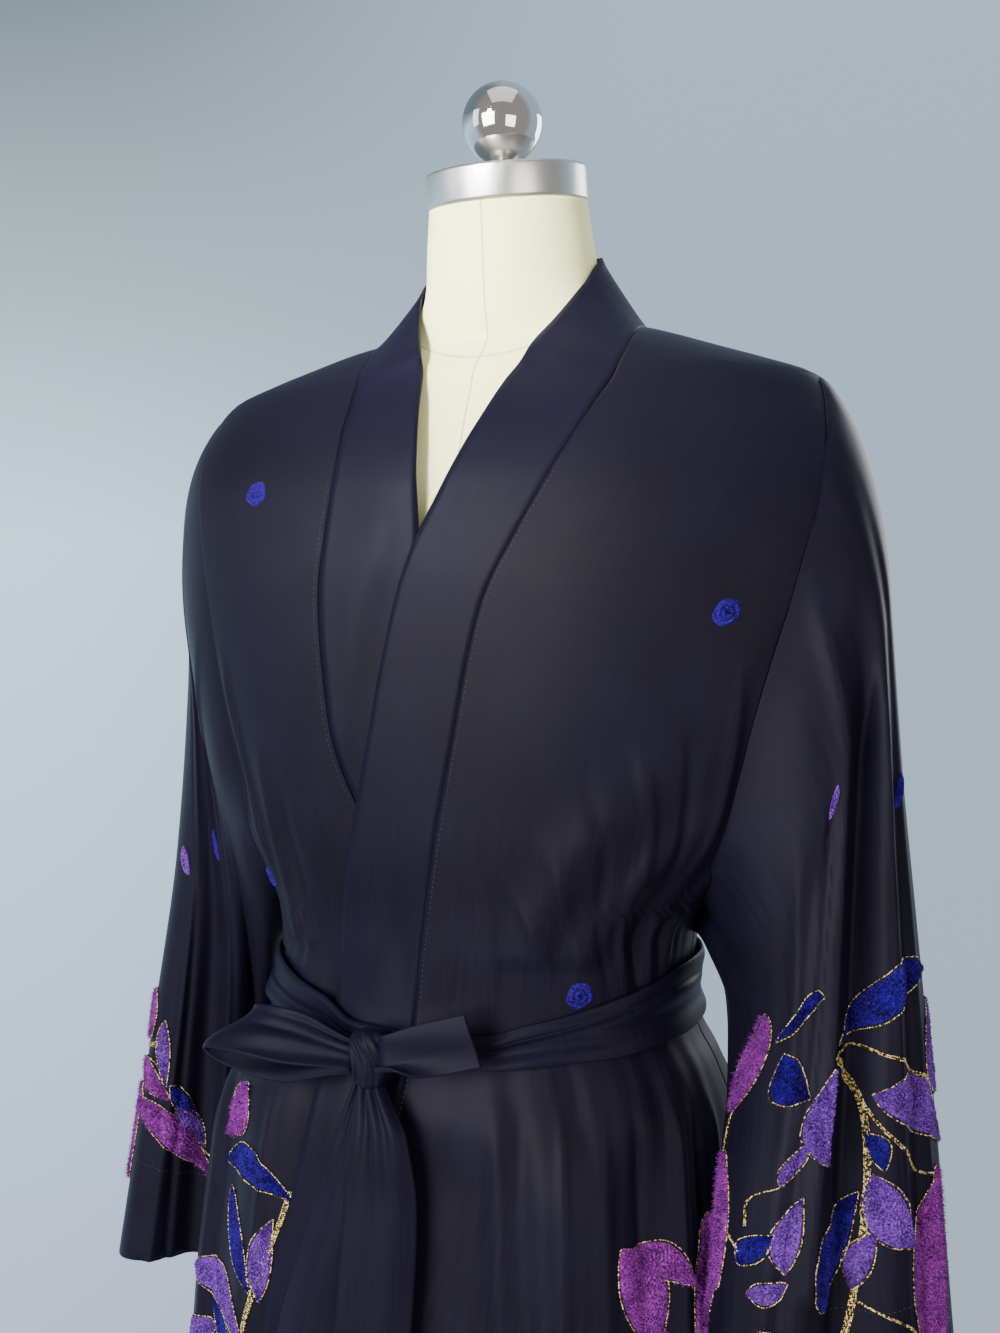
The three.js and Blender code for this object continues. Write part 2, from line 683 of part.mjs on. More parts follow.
function sashGrid() {
  const around = 44;
  return [1, 0, -1].map((share) => {
    const row = [];
    for (let j = 0; j < around; j += 1) row.push(sashPoint(-180 + (360 * j) / around, share));
    return row;
  });
}

// Where the knot sits: just outside the sash at the knot's x.
function knotCentre() {
  const front = sashPoint(turnAt(knotZ, knotX), 0);
  const y = front.y - sashWall / 2 - knotHalfDepth - knotStand;
  return new THREE.Vector3(knotX, y, knotZ);
}

// A bow loop: the strip leaves the knot, turns at the tip and comes back under itself.
function loopGrid(centre) {
  const around = 22;
  const heading = new THREE.Vector3(-0.98, 0.08, 0.06).normalize();
  const side = new THREE.Vector3(-0.1, 0.55, 0.83).normalize();
  const thick = heading.clone().cross(side).normalize();
  const start = centre.clone().addScaledVector(heading, knotHalfWidth + loopStart);
  start.y -= loopForward;
  return [0.5, 0.17, -0.17, -0.5].map((share) => {
    const row = [];
    for (let j = 0; j < around; j += 1) {
      const turn = (2 * Math.PI * j) / around;
      const along = (1 - Math.cos(turn)) / 2;
      const swell = mix(0.35, 1, ease(along / 0.7));
      row.push(start.clone()
        .addScaledVector(heading, loopLength * along)
        .addScaledVector(thick, loopOpening * swell * Math.sin(turn))
        .addScaledVector(side, share * loopWidth * mix(0.7, 1, ease(along / 0.5))));
    }
    return row;
  });
}

// A strip between a list of middle points, each with its direction across and half width.
function stripGrid(stations, across) {
  return stations.map(({ at, over, half, curl }) => {
    const row = [];
    for (let j = 0; j <= across; j += 1) {
      const share = mix(-1, 1, j / across);
      const p = at.clone().addScaledVector(over, share * half);
      p.y += curl * share * share;
      row.push(p);
    }
    return row;
  });
}

// The short end of the sash, to the wearer's left of the knot.
function shortEndGrid(centre) {
  const offset = new THREE.Vector3(knotHalfWidth + endStart, -2, 3);
  const start = centre.clone().add(offset);
  const stations = [0, 0.3, 0.65, 1].map((s) => ({
    at: start.clone().add(new THREE.Vector3(endLength * s, -endForward * s, endRise * s)),
    over: new THREE.Vector3(mix(endLeanNear, endLeanFar, s), -0.1, 1).normalize(),
    half: mix(endHalfNear, endHalfFar, ease(s / 0.6)),
    curl: 3,
  }));
  return stripGrid(stations, 4);
}

// A long tail: rows of height, x of the middle, half width and how far it stands off the robe.
const frontTail = [
  { z: 560, x: -47, half: 24, stand: 14 },
  { z: 700, x: -44, half: 24, stand: 14 },
  { z: 785, x: -40, half: 24, stand: 15 },
  { z: 860, x: -36, half: 23, stand: 16 },
  { z: 905, x: -37, half: 18, stand: 18 },
  { z: 932.6, x: -45, half: 9, stand: 18 },
];
const backTail = [
  { z: 640, x: -108, half: 23, stand: 8 },
  { z: 720, x: -97, half: 23, stand: 8 },
  { z: 781, x: -86, half: 23, stand: 8 },
  { z: 849, x: -65, half: 22, stand: 8 },
  { z: 900, x: -55, half: 16, stand: 8.5 },
  { z: 932, x: -51, half: 8, stand: 12.5 },
];

function tailGrid(table, count) {
  const top = table[table.length - 1].z;
  const rows = [];
  for (let i = 0; i <= count; i += 1) {
    const z = mix(top, table[0].z, i / count);
    const value = (name) => column(table, 'z', name, z);
    const row = [];
    for (let j = 0; j <= 4; j += 1) {
      const share = mix(-1, 1, j / 4);
      const x = value('x') + share * value('half');
      const turn = turnAt(z, x);
      row.push(panelPoint(z, turn, false, frontFolds, value('stand') - 2.5 * share * share));
    }
    rows.push(row);
  }
  return rows;
}

// Form, cap and stand
function formGeometry() {
  const around = 30;
  const turns = Array.from({ length: around }, (_, j) => (2 * Math.PI * j) / around);
  const rings = formRings.map(({ z, half, front, back, ridge, square }) => {
    const push = (value) => Math.sign(value) * Math.abs(value) ** (2 / square);
    return turns.map((turn) => {
      const depth = Math.sin(turn) > 0 ? back - ridge : front + ridge;
      return new THREE.Vector3(half * push(Math.cos(turn)), ridge + depth * push(Math.sin(turn)), z);
    });
  });
  const seat = capRadius - 0.5;
  const top = turns.map((turn) => onCap(seat * Math.cos(turn), seat * Math.sin(turn), -hardGap));
  return ringSolid([...rings, top]);
}

// A point of the leaning cap's frame: its plane passes through the cap's centre.
function onCap(x, y, up) {
  return new THREE.Vector3(x, y, up).applyAxisAngle(new THREE.Vector3(1, 0, 0), neckLean)
    .add(new THREE.Vector3(0, 0, capCentreZ));
}

const lathe = (profile, steps) => new THREE.LatheGeometry(
  profile.map(([r, z]) => new THREE.Vector2(r, z)),
  steps,
).rotateX(Math.PI / 2);

const capGeometry = () => lathe([
  [0, 0], [capRadius, 0], [capRadius, capHeight - capRim],
  [capRadius - capRim * 0.3, capHeight - capRim * 0.3], [capRadius - capRim, capHeight], [0, capHeight],
], 32);

function ballGeometry() {
  const profile = [[0, 0], [collarRadius, 0], [collarRadius, collarHeight]];
  const centre = collarHeight + Math.sqrt(ballRadius ** 2 - collarRadius ** 2);
  const from = Math.asin(collarRadius / ballRadius);
  const steps = 12;
  for (let i = 1; i < steps; i += 1) {
    const turn = mix(from, Math.PI, i / steps);
    profile.push([ballRadius * Math.sin(turn), centre - ballRadius * Math.cos(turn)]);
  }
  profile.push([0, centre + ballRadius]);
  return lathe(profile, 24);
}

// The pole stands in a flange on the base and ends under the form.
const poleTop = formRings[0].z - hardGap;
const poleGeometry = () => lathe([
  [0, baseHeight + hardGap], [poleFlangeRadius, baseHeight + hardGap],
  [poleFlangeRadius, baseHeight + poleFlangeHeight], [poleRadius, baseHeight + poleSeatHeight],
  [poleRadius, poleTop], [0, poleTop],
], 20);
const baseGeometry = () => lathe([
  [0, 0], [baseRadius, 0], [baseRadius, baseEdgeHeight],
  [baseRadius - baseShoulder, baseShoulderHeight], [baseCrownRadius, baseHeight], [0, baseHeight],
], 36);

// Assembly
const robeColour = 0x232434;
const bandColour = 0x262842;
const linenColour = 0xf0f0d2;
const steelColour = 0xb9bab8;
const ironColour = 0x2b2b2d;
const kimono = new THREE.Group();

function add(name, geometry, color, roughness = 0.7, metalness = 0) {
  const material = new THREE.MeshStandardMaterial({ color, roughness, metalness });
  const mesh = new THREE.Mesh(geometry, material);
  mesh.name = name;
  kimono.add(mesh);
  return mesh;
}

function placeOnCap(mesh, up) {
  mesh.rotation.x = neckLean;
  mesh.position.copy(onCap(0, 0, up));
}

const knot = knotCentre();
add('back', wall(backGrid(), clothWall), robeColour);
add('front_left', wall(frontGrid(1, leftBandLines, 13), clothWall), robeColour);
add('front_right', wall(frontGrid(-1, rightBandLines, 11), clothWall), robeColour);
add('sleeve_left', wall(sleeveGrid(1, leftSleeve, leftSleeveFolds), clothWall, true), robeColour);
add('sleeve_right', wall(sleeveGrid(-1, rightSleeve, rightSleeveFolds), clothWall, true), robeColour);
add('band_left', wall(bandGrid(1, leftBandLines), bandWall), bandColour);
add('band_right', wall(bandGrid(-1, rightBandLines), bandWall), bandColour);
add('sash_wrap', wall(sashGrid(), sashWall, true), bandColour);
add('sash_knot', roundedBlock(knot, knotHalfWidth, knotHalfDepth, knotHalfHeight, 0.8), bandColour);
add('sash_loop', wall(loopGrid(knot), sashWall, true), bandColour);
add('sash_end_short', wall(shortEndGrid(knot), sashWall), bandColour);
add('sash_tail_front', wall(tailGrid(frontTail, 12), sashWall), bandColour);
add('sash_tail_back', wall(tailGrid(backTail, 10), sashWall), bandColour);
add('form_torso', formGeometry(), linenColour, 0.9);
placeOnCap(add('neck_cap', capGeometry(), steelColour, 0.35, 1), 0);
placeOnCap(add('neck_ball', ballGeometry(), steelColour, 0.08, 1), capHeight + hardGap);
add('stand_pole', poleGeometry(), steelColour, 0.3, 1);
add('stand_base', baseGeometry(), ironColour, 0.6, 0.4);

export default kimono;
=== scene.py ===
# %% [markdown]
# # A kimono robe on a dress form
# The robe is thin silk-like cloth, cut in straight pieces: a back, two fronts, two wide
# sleeves and a band that runs round the neck and down both fronts. A sash ties it. We start
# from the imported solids, which fix every place and size, and build the visible cloth over them.

import bpy
import numpy as np
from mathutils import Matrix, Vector


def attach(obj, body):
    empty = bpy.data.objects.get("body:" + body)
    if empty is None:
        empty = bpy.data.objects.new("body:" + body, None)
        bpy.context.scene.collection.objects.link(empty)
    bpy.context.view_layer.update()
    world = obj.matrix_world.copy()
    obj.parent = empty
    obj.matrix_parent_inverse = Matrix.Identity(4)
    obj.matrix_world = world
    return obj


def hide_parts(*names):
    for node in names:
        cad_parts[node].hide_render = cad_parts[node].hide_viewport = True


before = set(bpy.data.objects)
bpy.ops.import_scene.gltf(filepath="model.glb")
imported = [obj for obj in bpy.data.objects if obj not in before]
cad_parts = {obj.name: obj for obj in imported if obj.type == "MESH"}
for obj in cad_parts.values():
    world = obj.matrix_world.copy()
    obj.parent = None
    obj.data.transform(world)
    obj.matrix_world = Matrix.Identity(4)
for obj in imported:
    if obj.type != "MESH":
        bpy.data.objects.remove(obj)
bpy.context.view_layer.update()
MM = 0.001

# %% [markdown]
# ## Camera
# The picture was taken from about a metre away, at chest height, from the wearer's left of
# centre. A camera that looks level keeps the upright lines upright, so none of it is tilted.

# %% Camera
CAMERA_TURN = np.radians(20)
CAMERA_DISTANCE = 980.0
CAMERA_HEIGHT = 1189.0
CAMERA_SIDESTEP = 5.4
FOCAL_PIXELS, LONG_SIDE_PIXELS, SENSOR_MM = 1450.0, 1333.0, 36.0

camera = bpy.data.objects.new("camera", bpy.data.cameras.new("camera"))
bpy.context.scene.collection.objects.link(camera)
camera.data.sensor_width = SENSOR_MM
camera.data.lens = FOCAL_PIXELS * SENSOR_MM / LONG_SIDE_PIXELS
camera.location = (
    MM * (CAMERA_DISTANCE * np.sin(CAMERA_TURN) - CAMERA_SIDESTEP * np.cos(CAMERA_TURN)),
    MM * (-CAMERA_DISTANCE * np.cos(CAMERA_TURN) - CAMERA_SIDESTEP * np.sin(CAMERA_TURN)),
    MM * CAMERA_HEIGHT,
)
camera.rotation_euler = (np.pi / 2, 0, CAMERA_TURN)
bpy.context.scene.camera = camera
print("lens, mm:", round(camera.data.lens, 2))

# %% [markdown]
# ## Sizes as tables
# The same named tables as the solids': each row is a height (or a place along a sleeve) and
# each column a size in millimetres. Between rows, a cubic that never overshoots is read.

# %% Tables
def table(names, *rows):
    """One array for each named column."""
    return dict(zip(names.split(), np.array(rows, float).T))


ROBE = table(
    "z left right front back ridge",
    (395, 188, 232, 124, 120, 0), (600, 175, 226, 123, 117, 0), (771, 159, 216, 121, 114, 0),
    (850, 156, 206, 118, 112, 0), (905, 152, 198, 113, 108, 0), (938, 141, 180, 105, 99, 0),
    (956, 131, 167, 101, 93, 0), (978, 124, 160, 99, 91, 0), (1018, 127, 152, 102, 93, 0),
    (1090, 186, 182, 112, 104, 2), (1170, 225, 212, 119, 114, 5), (1240, 246, 232, 121, 120, 8),
    (1298, 252, 244, 112, 122, 10), (1325, 242, 238, 103, 118, 11), (1352, 224, 222, 89, 110, 12),
    (1372, 207, 207, 74, 102, 12), (1384, 177, 179, 62, 98, 12), (1394, 148, 150, 51, 95, 12),
    (1404, 120, 121, 37, 92, 12), (1413, 94, 94, 12, 89, 12),
)
ARMHOLE = table(
    "z left right",
    (1018, 127, 152), (1090, 160, 161), (1170, 184, 175), (1240, 205, 183),
    (1298, 217, 193), (1325, 218, 200), (1352, 214, 207), (1372, 207, 207),
)
LEFT_BAND = table(
    "z seam edge",
    (395, -92, -152), (600, -80, -140), (771, -68, -128), (853, -48, -108), (935, -31, -91),
    (1008, -22, -81), (1046, -15, -76), (1096, -5, -63), (1143, 6, -51), (1195, 17, -39),
    (1230, 27, -30), (1263, 43, -19), (1292, 58, -6), (1322, 73, 7), (1347, 86, 18),
    (1370, 95, 27), (1395, 96, 38), (1413, 94, 46),
)
RIGHT_BAND = table(
    "z seam edge",
    (395, 76, 136), (600, 66, 126), (771, 52, 112), (935, 24, 84), (1008, 4, 64), (1046, -20, 44),
    (1086, -55, 12), (1130, -73, -6), (1159, -79, -12), (1228, -84, -17), (1270, -81, -18),
    (1320, -78, -23), (1352, -78, -28), (1372, -80, -32), (1396, -84, -40), (1413, -94, -46),
)
NECK = table(
    "turn x y z",
    (0, 0, 72, 1478), (30, 32, 66, 1477), (60, 53, 44, 1472), (88, 61, 12, 1460),
)
COLLAR = table(
    "seamZ x y z",
    (1410, 60, -8, 1446), (1402, 55, -24, 1431), (1390, 47, -44, 1411), (1374, 38, -63, 1392),
)
LAPEL = table(
    "seamZ edgeZ",
    (1352, 1370), (1322, 1341), (1292, 1308), (1262, 1275), (1228, 1237), (1190, 1195),
)
SLEEVE_NAMES = "t outX outY outZ inX inY inZ front back bow turn"
LEFT_SLEEVE = table(
    SLEEVE_NAMES,
    (0, 207, 12, 1372, 127, 0, 1018, 84, 84, 32, 0),
    (0.08, 227, 12, 1357, 138, -4, 1016, 80, 78, 29, 4),
    (0.2, 243, 11, 1306, 146, -12, 998, 76, 74, 21, 10),
    (0.35, 246, 11, 1225, 153, -22, 980, 68, 60, 12, 17),
    (0.5, 250, 11, 1138, 158, -36, 955, 61, 46, 6, 23),
    (0.65, 258, 11, 1040, 160, -50, 922, 56, 34, 2, 28),
    (0.8, 268, 12, 930, 157, -66, 876, 54, 26, 0, 31),
    (1, 282, 14, 754, 150, -78, 760, 54, 24, 0, 33),
)
RIGHT_SLEEVE = table(
    SLEEVE_NAMES,
    (0, -207, 12, 1372, -152, 0, 1018, 84, 84, 12, 0),
    (0.08, -232, 12, 1354, -166, 8, 1016, 78, 80, 12, 4),
    (0.2, -247, 12, 1318, -176, 18, 998, 70, 76, 10, 10),
    (0.35, -250, 12, 1238, -188, 30, 978, 58, 66, 6, 17),
    (0.5, -257, 12, 1150, -198, 44, 948, 46, 58, 3, 23),
    (0.65, -267, 12, 1048, -208, 58, 910, 38, 54, 0, 28),
    (0.8, -284, 10, 936, -217, 70, 860, 35, 52, 0, 31),
    (1, -312, 4, 750, -228, 80, 752, 34, 52, 0, 33),
)
FOLD_NAMES = "fromU fromV toU toV width rise"
FRONT_FOLDS = table(
    FOLD_NAMES,
    (52, 1120, 34, 1010, 7, 5), (30, 1140, 19, 1010, 7, 5), (-60, 1130, -48, 1010, 8, 5),
    (0, 925, 4, 395, 9, -6), (23, 925, 26, 395, 9, 6), (47, 925, 50, 395, 9, -6),
    (-72, 925, -72, 395, 8, 6), (-52, 925, -55, 395, 8, -5),
)
BACK_FOLDS = table(
    FOLD_NAMES,
    (-45, 1150, -25, 1020, 9, 6), (45, 1150, 25, 1020, 9, 6), (-50, 930, -55, 395, 9, 9),
    (-18, 930, -18, 395, 9, -8), (16, 930, 18, 395, 9, 8), (48, 930, 52, 395, 9, -8),
)
LEFT_SLEEVE_FOLDS = table(
    FOLD_NAMES,
    (0.3, 0.14, 0.62, 1, 0.09, -15), (0.16, 0.2, 0.42, 1, 0.08, 7), (0.55, 0.3, 0.82, 1, 0.08, 6),
)
RIGHT_SLEEVE_FOLDS = table(FOLD_NAMES, (0.3, 0.2, 0.45, 1, 0.1, -8), (0.55, 0.3, 0.7, 1, 0.1, 6))
SLEEVE_BACK_FOLDS = table(FOLD_NAMES, (0.4, 0.2, 0.5, 1, 0.12, -12))
SASH = table(
    "turn z half",
    (-180, 990, 21), (-120, 987, 20), (-80, 984, 19), (-64, 982, 16), (-40, 973, 12),
    (-30, 968, 11), (-20, 958, 9), (0, 955, 9.5), (8, 956, 10), (16, 960, 12), (28, 965, 13),
    (45, 971, 16), (61, 977, 18), (80, 982, 20), (120, 986, 20), (180, 990, 21),
)
FORM = table(
    "z half front back ridge square",
    (812, 128, 88, 86, 0, 2.2), (830, 144, 97, 95, 0, 2.2), (880, 142, 98, 96, 0, 2.3),
    (930, 124, 90, 84, 0, 2.3), (978, 108, 80, 70, 0, 2.3), (1040, 114, 86, 76, 0, 2.3),
    (1110, 136, 98, 88, 2, 2.3), (1180, 156, 108, 98, 5, 2.4), (1240, 168, 107, 108, 8, 2.4),
    (1300, 180, 97, 112, 10, 2.4), (1340, 190, 82, 106, 12, 2.4), (1360, 192, 72, 101, 12, 2.4),
    (1372, 189, 67, 97, 12, 2.4), (1383, 174, 59, 94, 12, 2.4), (1394, 144.5, 47, 91, 12, 2.2),
    (1404, 112, 40, 88, 14, 1.8), (1413, 83, 42, 83, 16, 1.9), (1424, 70, 45, 79, 15, 2),
    (1440, 61, 47, 73, 13, 2), (1470, 57, 50, 63, 6.5, 2),
)


def column(rows, key, name, place):
    """Value of a column at a place along its key: the cubic through the two rows beside it. Its
    slope at a row is the harmonic mean of the slopes on both sides, or none at a turning point."""
    x, y = rows[key], rows[name]
    step = np.diff(x)
    slope = np.diff(y) / step
    tangent = np.concatenate([slope[:1], np.zeros(len(x) - 2), slope[-1:]])
    a, b = 2 * step[1:] + step[:-1], step[1:] + 2 * step[:-1]
    same = slope[:-1] * slope[1:] > 0
    before, after = np.where(same, slope[:-1], 1), np.where(same, slope[1:], 1)
    tangent[1:-1] = np.where(same, (a + b) / (a / before + b / after), 0)
    at = np.clip(place, x[0], x[-1])
    i = np.clip(np.searchsorted(x, at) - 1, 0, len(step) - 1)
    t = (at - x[i]) / step[i]
    return (
        (2 * t**3 - 3 * t**2 + 1) * y[i] + (t**3 - 2 * t**2 + t) * step[i] * tangent[i]
        + (3 * t**2 - 2 * t**3) * y[i + 1] + (t**3 - t**2) * step[i] * tangent[i + 1]
    )


def ease(t):
    """Smooth step: 3 t squared less 2 t cubed, from 0 to 1."""
    c = np.clip(t, 0, 1)
    return c * c * (3 - 2 * c)


def mix(a, b, t):
    """Straight mix of a and b."""
    return a + (b - a) * t


def columns(rows, key, names, place):
    """Several columns at a place, by name."""
    return {name: column(rows, key, name, place) for name in names.split()}


def unit(v):
    """Each vector divided by its own length."""
    return v / np.maximum(np.linalg.norm(v, axis=-1, keepdims=True), 1e-9)


def lengths_along(path):
    """Running length from a path's first point: the sum of the lengths of its steps."""
    return np.concatenate([[0], np.cumsum(np.linalg.norm(np.diff(path, axis=0), axis=-1))])


def full_turn(count):
    """Even angles round a circle, in one row; the last would be the first again."""
    return np.linspace(0, 2 * np.pi, count + 1)[None, :-1]


print("chest at 1240 mm, half width:", float(column(ROBE, "z", "left", 1240.0)))

# %% [markdown]
# ## The shape of the worn robe
# At each height the robe's plan is a rounded box: sine and cosine raised to a power below one.
# Folds are ridges and valleys added along the outward direction, so the surface stays one
# function of height and turn. That function places the cloth, the bands, the tails and every
# stitch, so that nothing on a panel can part from it.

# %% Plan, folds and outward direction
SQUARE = 2.4
SHOULDER_Z, UNDERARM_Z, NECK_Z, HEM_Z = 1372.0, 1018.0, 1413.0, 395.0
WAIST_Z = 974.0
LAYER_STEP, LAYER_EASE = 4.6, 30.0
FOLD_START, FINE_FOLD_START = 60.0, 45.0
CALM_HEIGHT, CINCH_HEIGHT, CINCH_STRENGTH = 55.0, 62.0, 1.5
SIDE_FADE_DEGREES = 10.0


def half_width(z, side):
    """Half width of the plan: the left one where side is above zero, or else the right one."""
    return np.where(side > 0, column(ROBE, "z", "left", z), column(ROBE, "z", "right", z))


def fold_rise(folds, u, v, stretch):
    """Sum of Gaussian crests, each on a straight line from its first place to its last; stretch is
    the way over which a crest comes up from nothing."""
    total = np.zeros(np.broadcast(u, v).shape)
    for f in zip(*[folds[name] for name in FOLD_NAMES.split()]):
        along = (v - f[1]) / (f[3] - f[1])
        middle = mix(f[0], f[2], np.clip(along, 0, 1))
        reach = np.where((along > 0) & (along <= 1.0001), ease(np.abs(v - f[1]) / stretch), 0)
        total = total + f[5] * reach * np.exp(-(((u - middle) / f[4]) ** 2))
    return total


def robe_plan(z, turn, behind):
    """Rounded-box plan at height z: x is the half width times sine to the power 2/SQUARE, and y
    goes from the ridge line to the front or back by cosine to the same power."""
    z, turn = np.broadcast_arrays(np.asarray(z, float), np.asarray(turn, float))
    angle = np.radians(turn)
    ridge = column(ROBE, "z", "ridge", z)
    far = np.where(behind, column(ROBE, "z", "back", z), -column(ROBE, "z", "front", z))
    x = np.sign(turn) * half_width(z, turn) * np.abs(np.sin(angle)) ** (2 / SQUARE)
    y = mix(ridge, far, np.maximum(0, np.cos(angle)) ** (2 / SQUARE))
    return np.stack([x, y, z], -1)


def turn_at(z, x):
    """Turn at which the plan has a given x."""
    share = np.clip(np.abs(x) / half_width(z, x), 0, 1)
    return np.sign(x) * np.degrees(np.arcsin(share ** (SQUARE / 2)))


def outward(z, turn, behind):
    """Level direction across the plan's own line at a place, pointing away from the body."""
    safe = np.clip(turn, -89, 89)
    d = robe_plan(z, safe + 0.5, behind) - robe_plan(z, safe - 0.5, behind)
    n = unit(np.stack([d[..., 1], -d[..., 0], np.zeros(d.shape[:-1])], -1))
    return np.where(np.asarray(behind)[..., None], -n, n)


print("turn at x 60 mm at the waist:", round(float(turn_at(WAIST_Z, np.float64(60.0))), 1))

# %% [markdown]
# ### Fine folds and the gathers at the waist
# Thin crepe falls in fine upright folds and is drawn together under the sash. A cloth simulation
# could make such folds, but they would land elsewhere on each run. Tables of crests give each
# fold its place, as in the photo, and sine waves round the waist give the small gathers.

# %% Fine folds, gathers and the panel function
# Small upright creases where the sash gathers the cloth: waves in a turn, phase, size in mm.
CINCH = table(
    "per_turn phase size",
    (11, 0.3, 0.9), (17, 1.9, 0.8), (27, 4.0, 0.55), (43, 2.2, 0.3),
)
# Fine folds: (turn, height) to (turn, height), half width in degrees, rise in millimetres.
FRONT_FINE = table(
    FOLD_NAMES,
    (44, 1200, 62, 985, 1.9, 2.8), (36, 1175, 57, 985, 1.7, -2.4), (27, 1160, 52, 985, 1.8, 2.6),
    (19, 1130, 46, 985, 1.6, -2.0), (12, 1100, 40, 985, 2.4, 1.9), (62, 1250, 70, 990, 2.6, 3.8),
    (52, 1225, 66, 990, 1.5, -2.2), (33, 1090, 55, 985, 1.1, 1.5), (6, 1075, 31, 985, 1.6, 1.4),
    (-34, 1120, -46, 990, 1.8, -1.9), (-47, 1210, -54, 990, 1.9, 2.2),
    (70, 1320, 76, 1080, 2.2, 2.4), (-62, 1330, -66, 1000, 4.5, 4.0),
    (-54, 1290, -58, 1000, 3.2, -2.4), (-40, 1150, -50, 990, 3, 2),
    (9, 940, 12, 395, 2.2, 2.2), (14, 940, 19, 395, 2.6, -2.4), (34, 935, 37, 395, 2.4, 2.0),
    (58, 940, 62, 395, 2.4, 3.4), (66, 940, 72, 395, 2.2, -3.4), (74, 940, 79, 395, 2.4, 3.4),
    (24, 940, 26, 395, 1.4, 1.7), (44, 935, 48, 395, 1.8, -2.0), (-36, 940, -42, 395, 1.6, 2.0),
    (-64, 940, -66, 395, 2.4, 2.6), (-59, 940, -61, 395, 2.0, -2.4), (-80, 940, -81, 395, 2.6, 2.6),
)
BACK_FINE = table(
    FOLD_NAMES,
    (-30, 1180, -12, 990, 3, 2.2), (30, 1180, 12, 990, 3, 2.2), (-60, 1250, -40, 990, 4, 2.6),
    (60, 1250, 40, 990, 4, 2.6), (-70, 940, -74, 395, 3.4, 3), (70, 940, 74, 395, 3.4, 3),
    (-33, 940, -36, 395, 2.6, 2.4), (33, 940, 35, 395, 2.6, 2.4), (0, 940, 0, 395, 2.6, 2.4),
)


def cinch(z, turn, behind):
    """Sum of sine waves round the waist, as strong as a bell curve of the height is high there."""
    lift = np.where(np.asarray(behind), np.pi, 0)
    angle = np.radians(turn) + lift
    wave = sum(
        s * np.sin(k * angle + p + 0.5 * np.sin(3 * angle))
        for k, p, s in zip(CINCH["per_turn"], CINCH["phase"], CINCH["size"])
    )
    return CINCH_STRENGTH * wave * np.exp(-(((z - WAIST_Z) / CINCH_HEIGHT) ** 2))


def panel_point(z, turn, behind, moved=0.0):
    """Plan point moved out by the folds, calm under the sash, and by a set amount."""
    z, turn = np.broadcast_arrays(np.asarray(z, float), np.asarray(turn, float))
    behind = np.broadcast_to(np.asarray(behind), z.shape)
    big, fine = [
        np.where(behind, fold_rise(rear, turn, z, start), fold_rise(fore, turn, z, start))
        for rear, fore, start in (
            (BACK_FOLDS, FRONT_FOLDS, FOLD_START), (BACK_FINE, FRONT_FINE, FINE_FOLD_START),
        )
    ]
    calm = ease(np.abs(z - WAIST_Z) / CALM_HEIGHT)
    fade = ease((90 - np.abs(turn)) / SIDE_FADE_DEGREES)
    rise = (big + fine * fade) * calm + cinch(z, turn, behind) * calm * fade
    return robe_plan(z, turn, behind) + outward(z, turn, behind) * (rise + moved)[..., None]


def underlap(hand, z, x):
    """The right front (hand below zero) passes under the left band: its drop inwards eases in over
    LAYER_EASE. The left front has none."""
    edge = column(LEFT_BAND, "z", "edge", z)
    return -LAYER_STEP * (hand < 0) * ease((x - edge + LAYER_EASE) / LAYER_EASE)


def side_turn(z, hand):
    """Turn at which a panel ends: the armhole seam, or else the side seam at 90 degrees."""
    x = hand * column(ARMHOLE, "z", "left" if hand > 0 else "right", z)
    inside = (z < SHOULDER_Z) & (z > UNDERARM_Z)
    return np.where(inside, np.abs(turn_at(z, x)), 90.0)


print("waist front point:", panel_point(WAIST_Z, 0.0, False).round(1))

# %% [markdown]
# ## From a grid of points to a piece
# Every cloth piece is one grid. Its faces join neighbouring points, and its UV map counts real
# millimetres along the rows and columns. A Solidify modifier gives it the thickness of cloth,
# inwards, so that the worked-out surface stays the one that shows.

# %% Grid helper
root_pieces = []


def grid_faces(rows, cols, closed=False):
    """Quads between rows and columns; a closed grid joins its last column to its first."""
    i, j = np.meshgrid(np.arange(rows - 1), np.arange(cols if closed else cols - 1), indexing="ij")
    k = (j + 1) % cols
    quads = np.stack([i * cols + j, (i + 1) * cols + j, (i + 1) * cols + k, i * cols + k], -1)
    return quads.reshape(-1, 4)


def mesh_object(name, points, faces, material, smooth=True):
    """A mesh object from points in millimetres and faces that count them."""
    mesh = bpy.data.meshes.new(name)
    mesh.from_pydata((points.reshape(-1, 3) * MM).tolist(), [], faces)
    mesh.polygons.foreach_set("use_smooth", np.full(len(mesh.polygons), smooth))
    mesh.materials.append(material)
    made = bpy.data.objects.new(name, mesh)
    bpy.context.scene.collection.objects.link(made)
    return made


def make_piece(name, points, faces, material, smooth=True):
    """A piece of the object: a mesh that rides on the one body."""
    piece = mesh_object(name, points, faces, material, smooth)
    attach(piece, "root")
    root_pieces.append(piece)
    return piece


def stands_for(piece, node):
    """Hides the solid whose place the piece takes; the piece argument is not used."""
    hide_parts(node)


def flow_uv(points):
    """UV in millimetres: length along the middle row and down the middle column."""
    rows, cols = points.shape[:2]
    u, v = lengths_along(points[rows // 2]), lengths_along(points[:, cols // 2])
    return np.stack(np.broadcast_arrays(u[None, :], -v[:, None]), -1)


def woven(name, points, material, closed=False, flip=False):
    """A grid of points as a piece with faces out and the flow UV, which the weave follows."""
    faces = grid_faces(*points.shape[:2], closed)
    piece = make_piece(name, points, (faces[:, ::-1] if flip else faces).tolist(), material)
    corners = np.empty(len(piece.data.loops), np.int32)
    piece.data.loops.foreach_get("vertex_index", corners)
    uv = flow_uv(points).reshape(-1, 2)[corners]
    layer = piece.data.uv_layers.new(name="cloth")
    layer.data.foreach_set("uv", uv.astype(np.float32).ravel())
    return piece


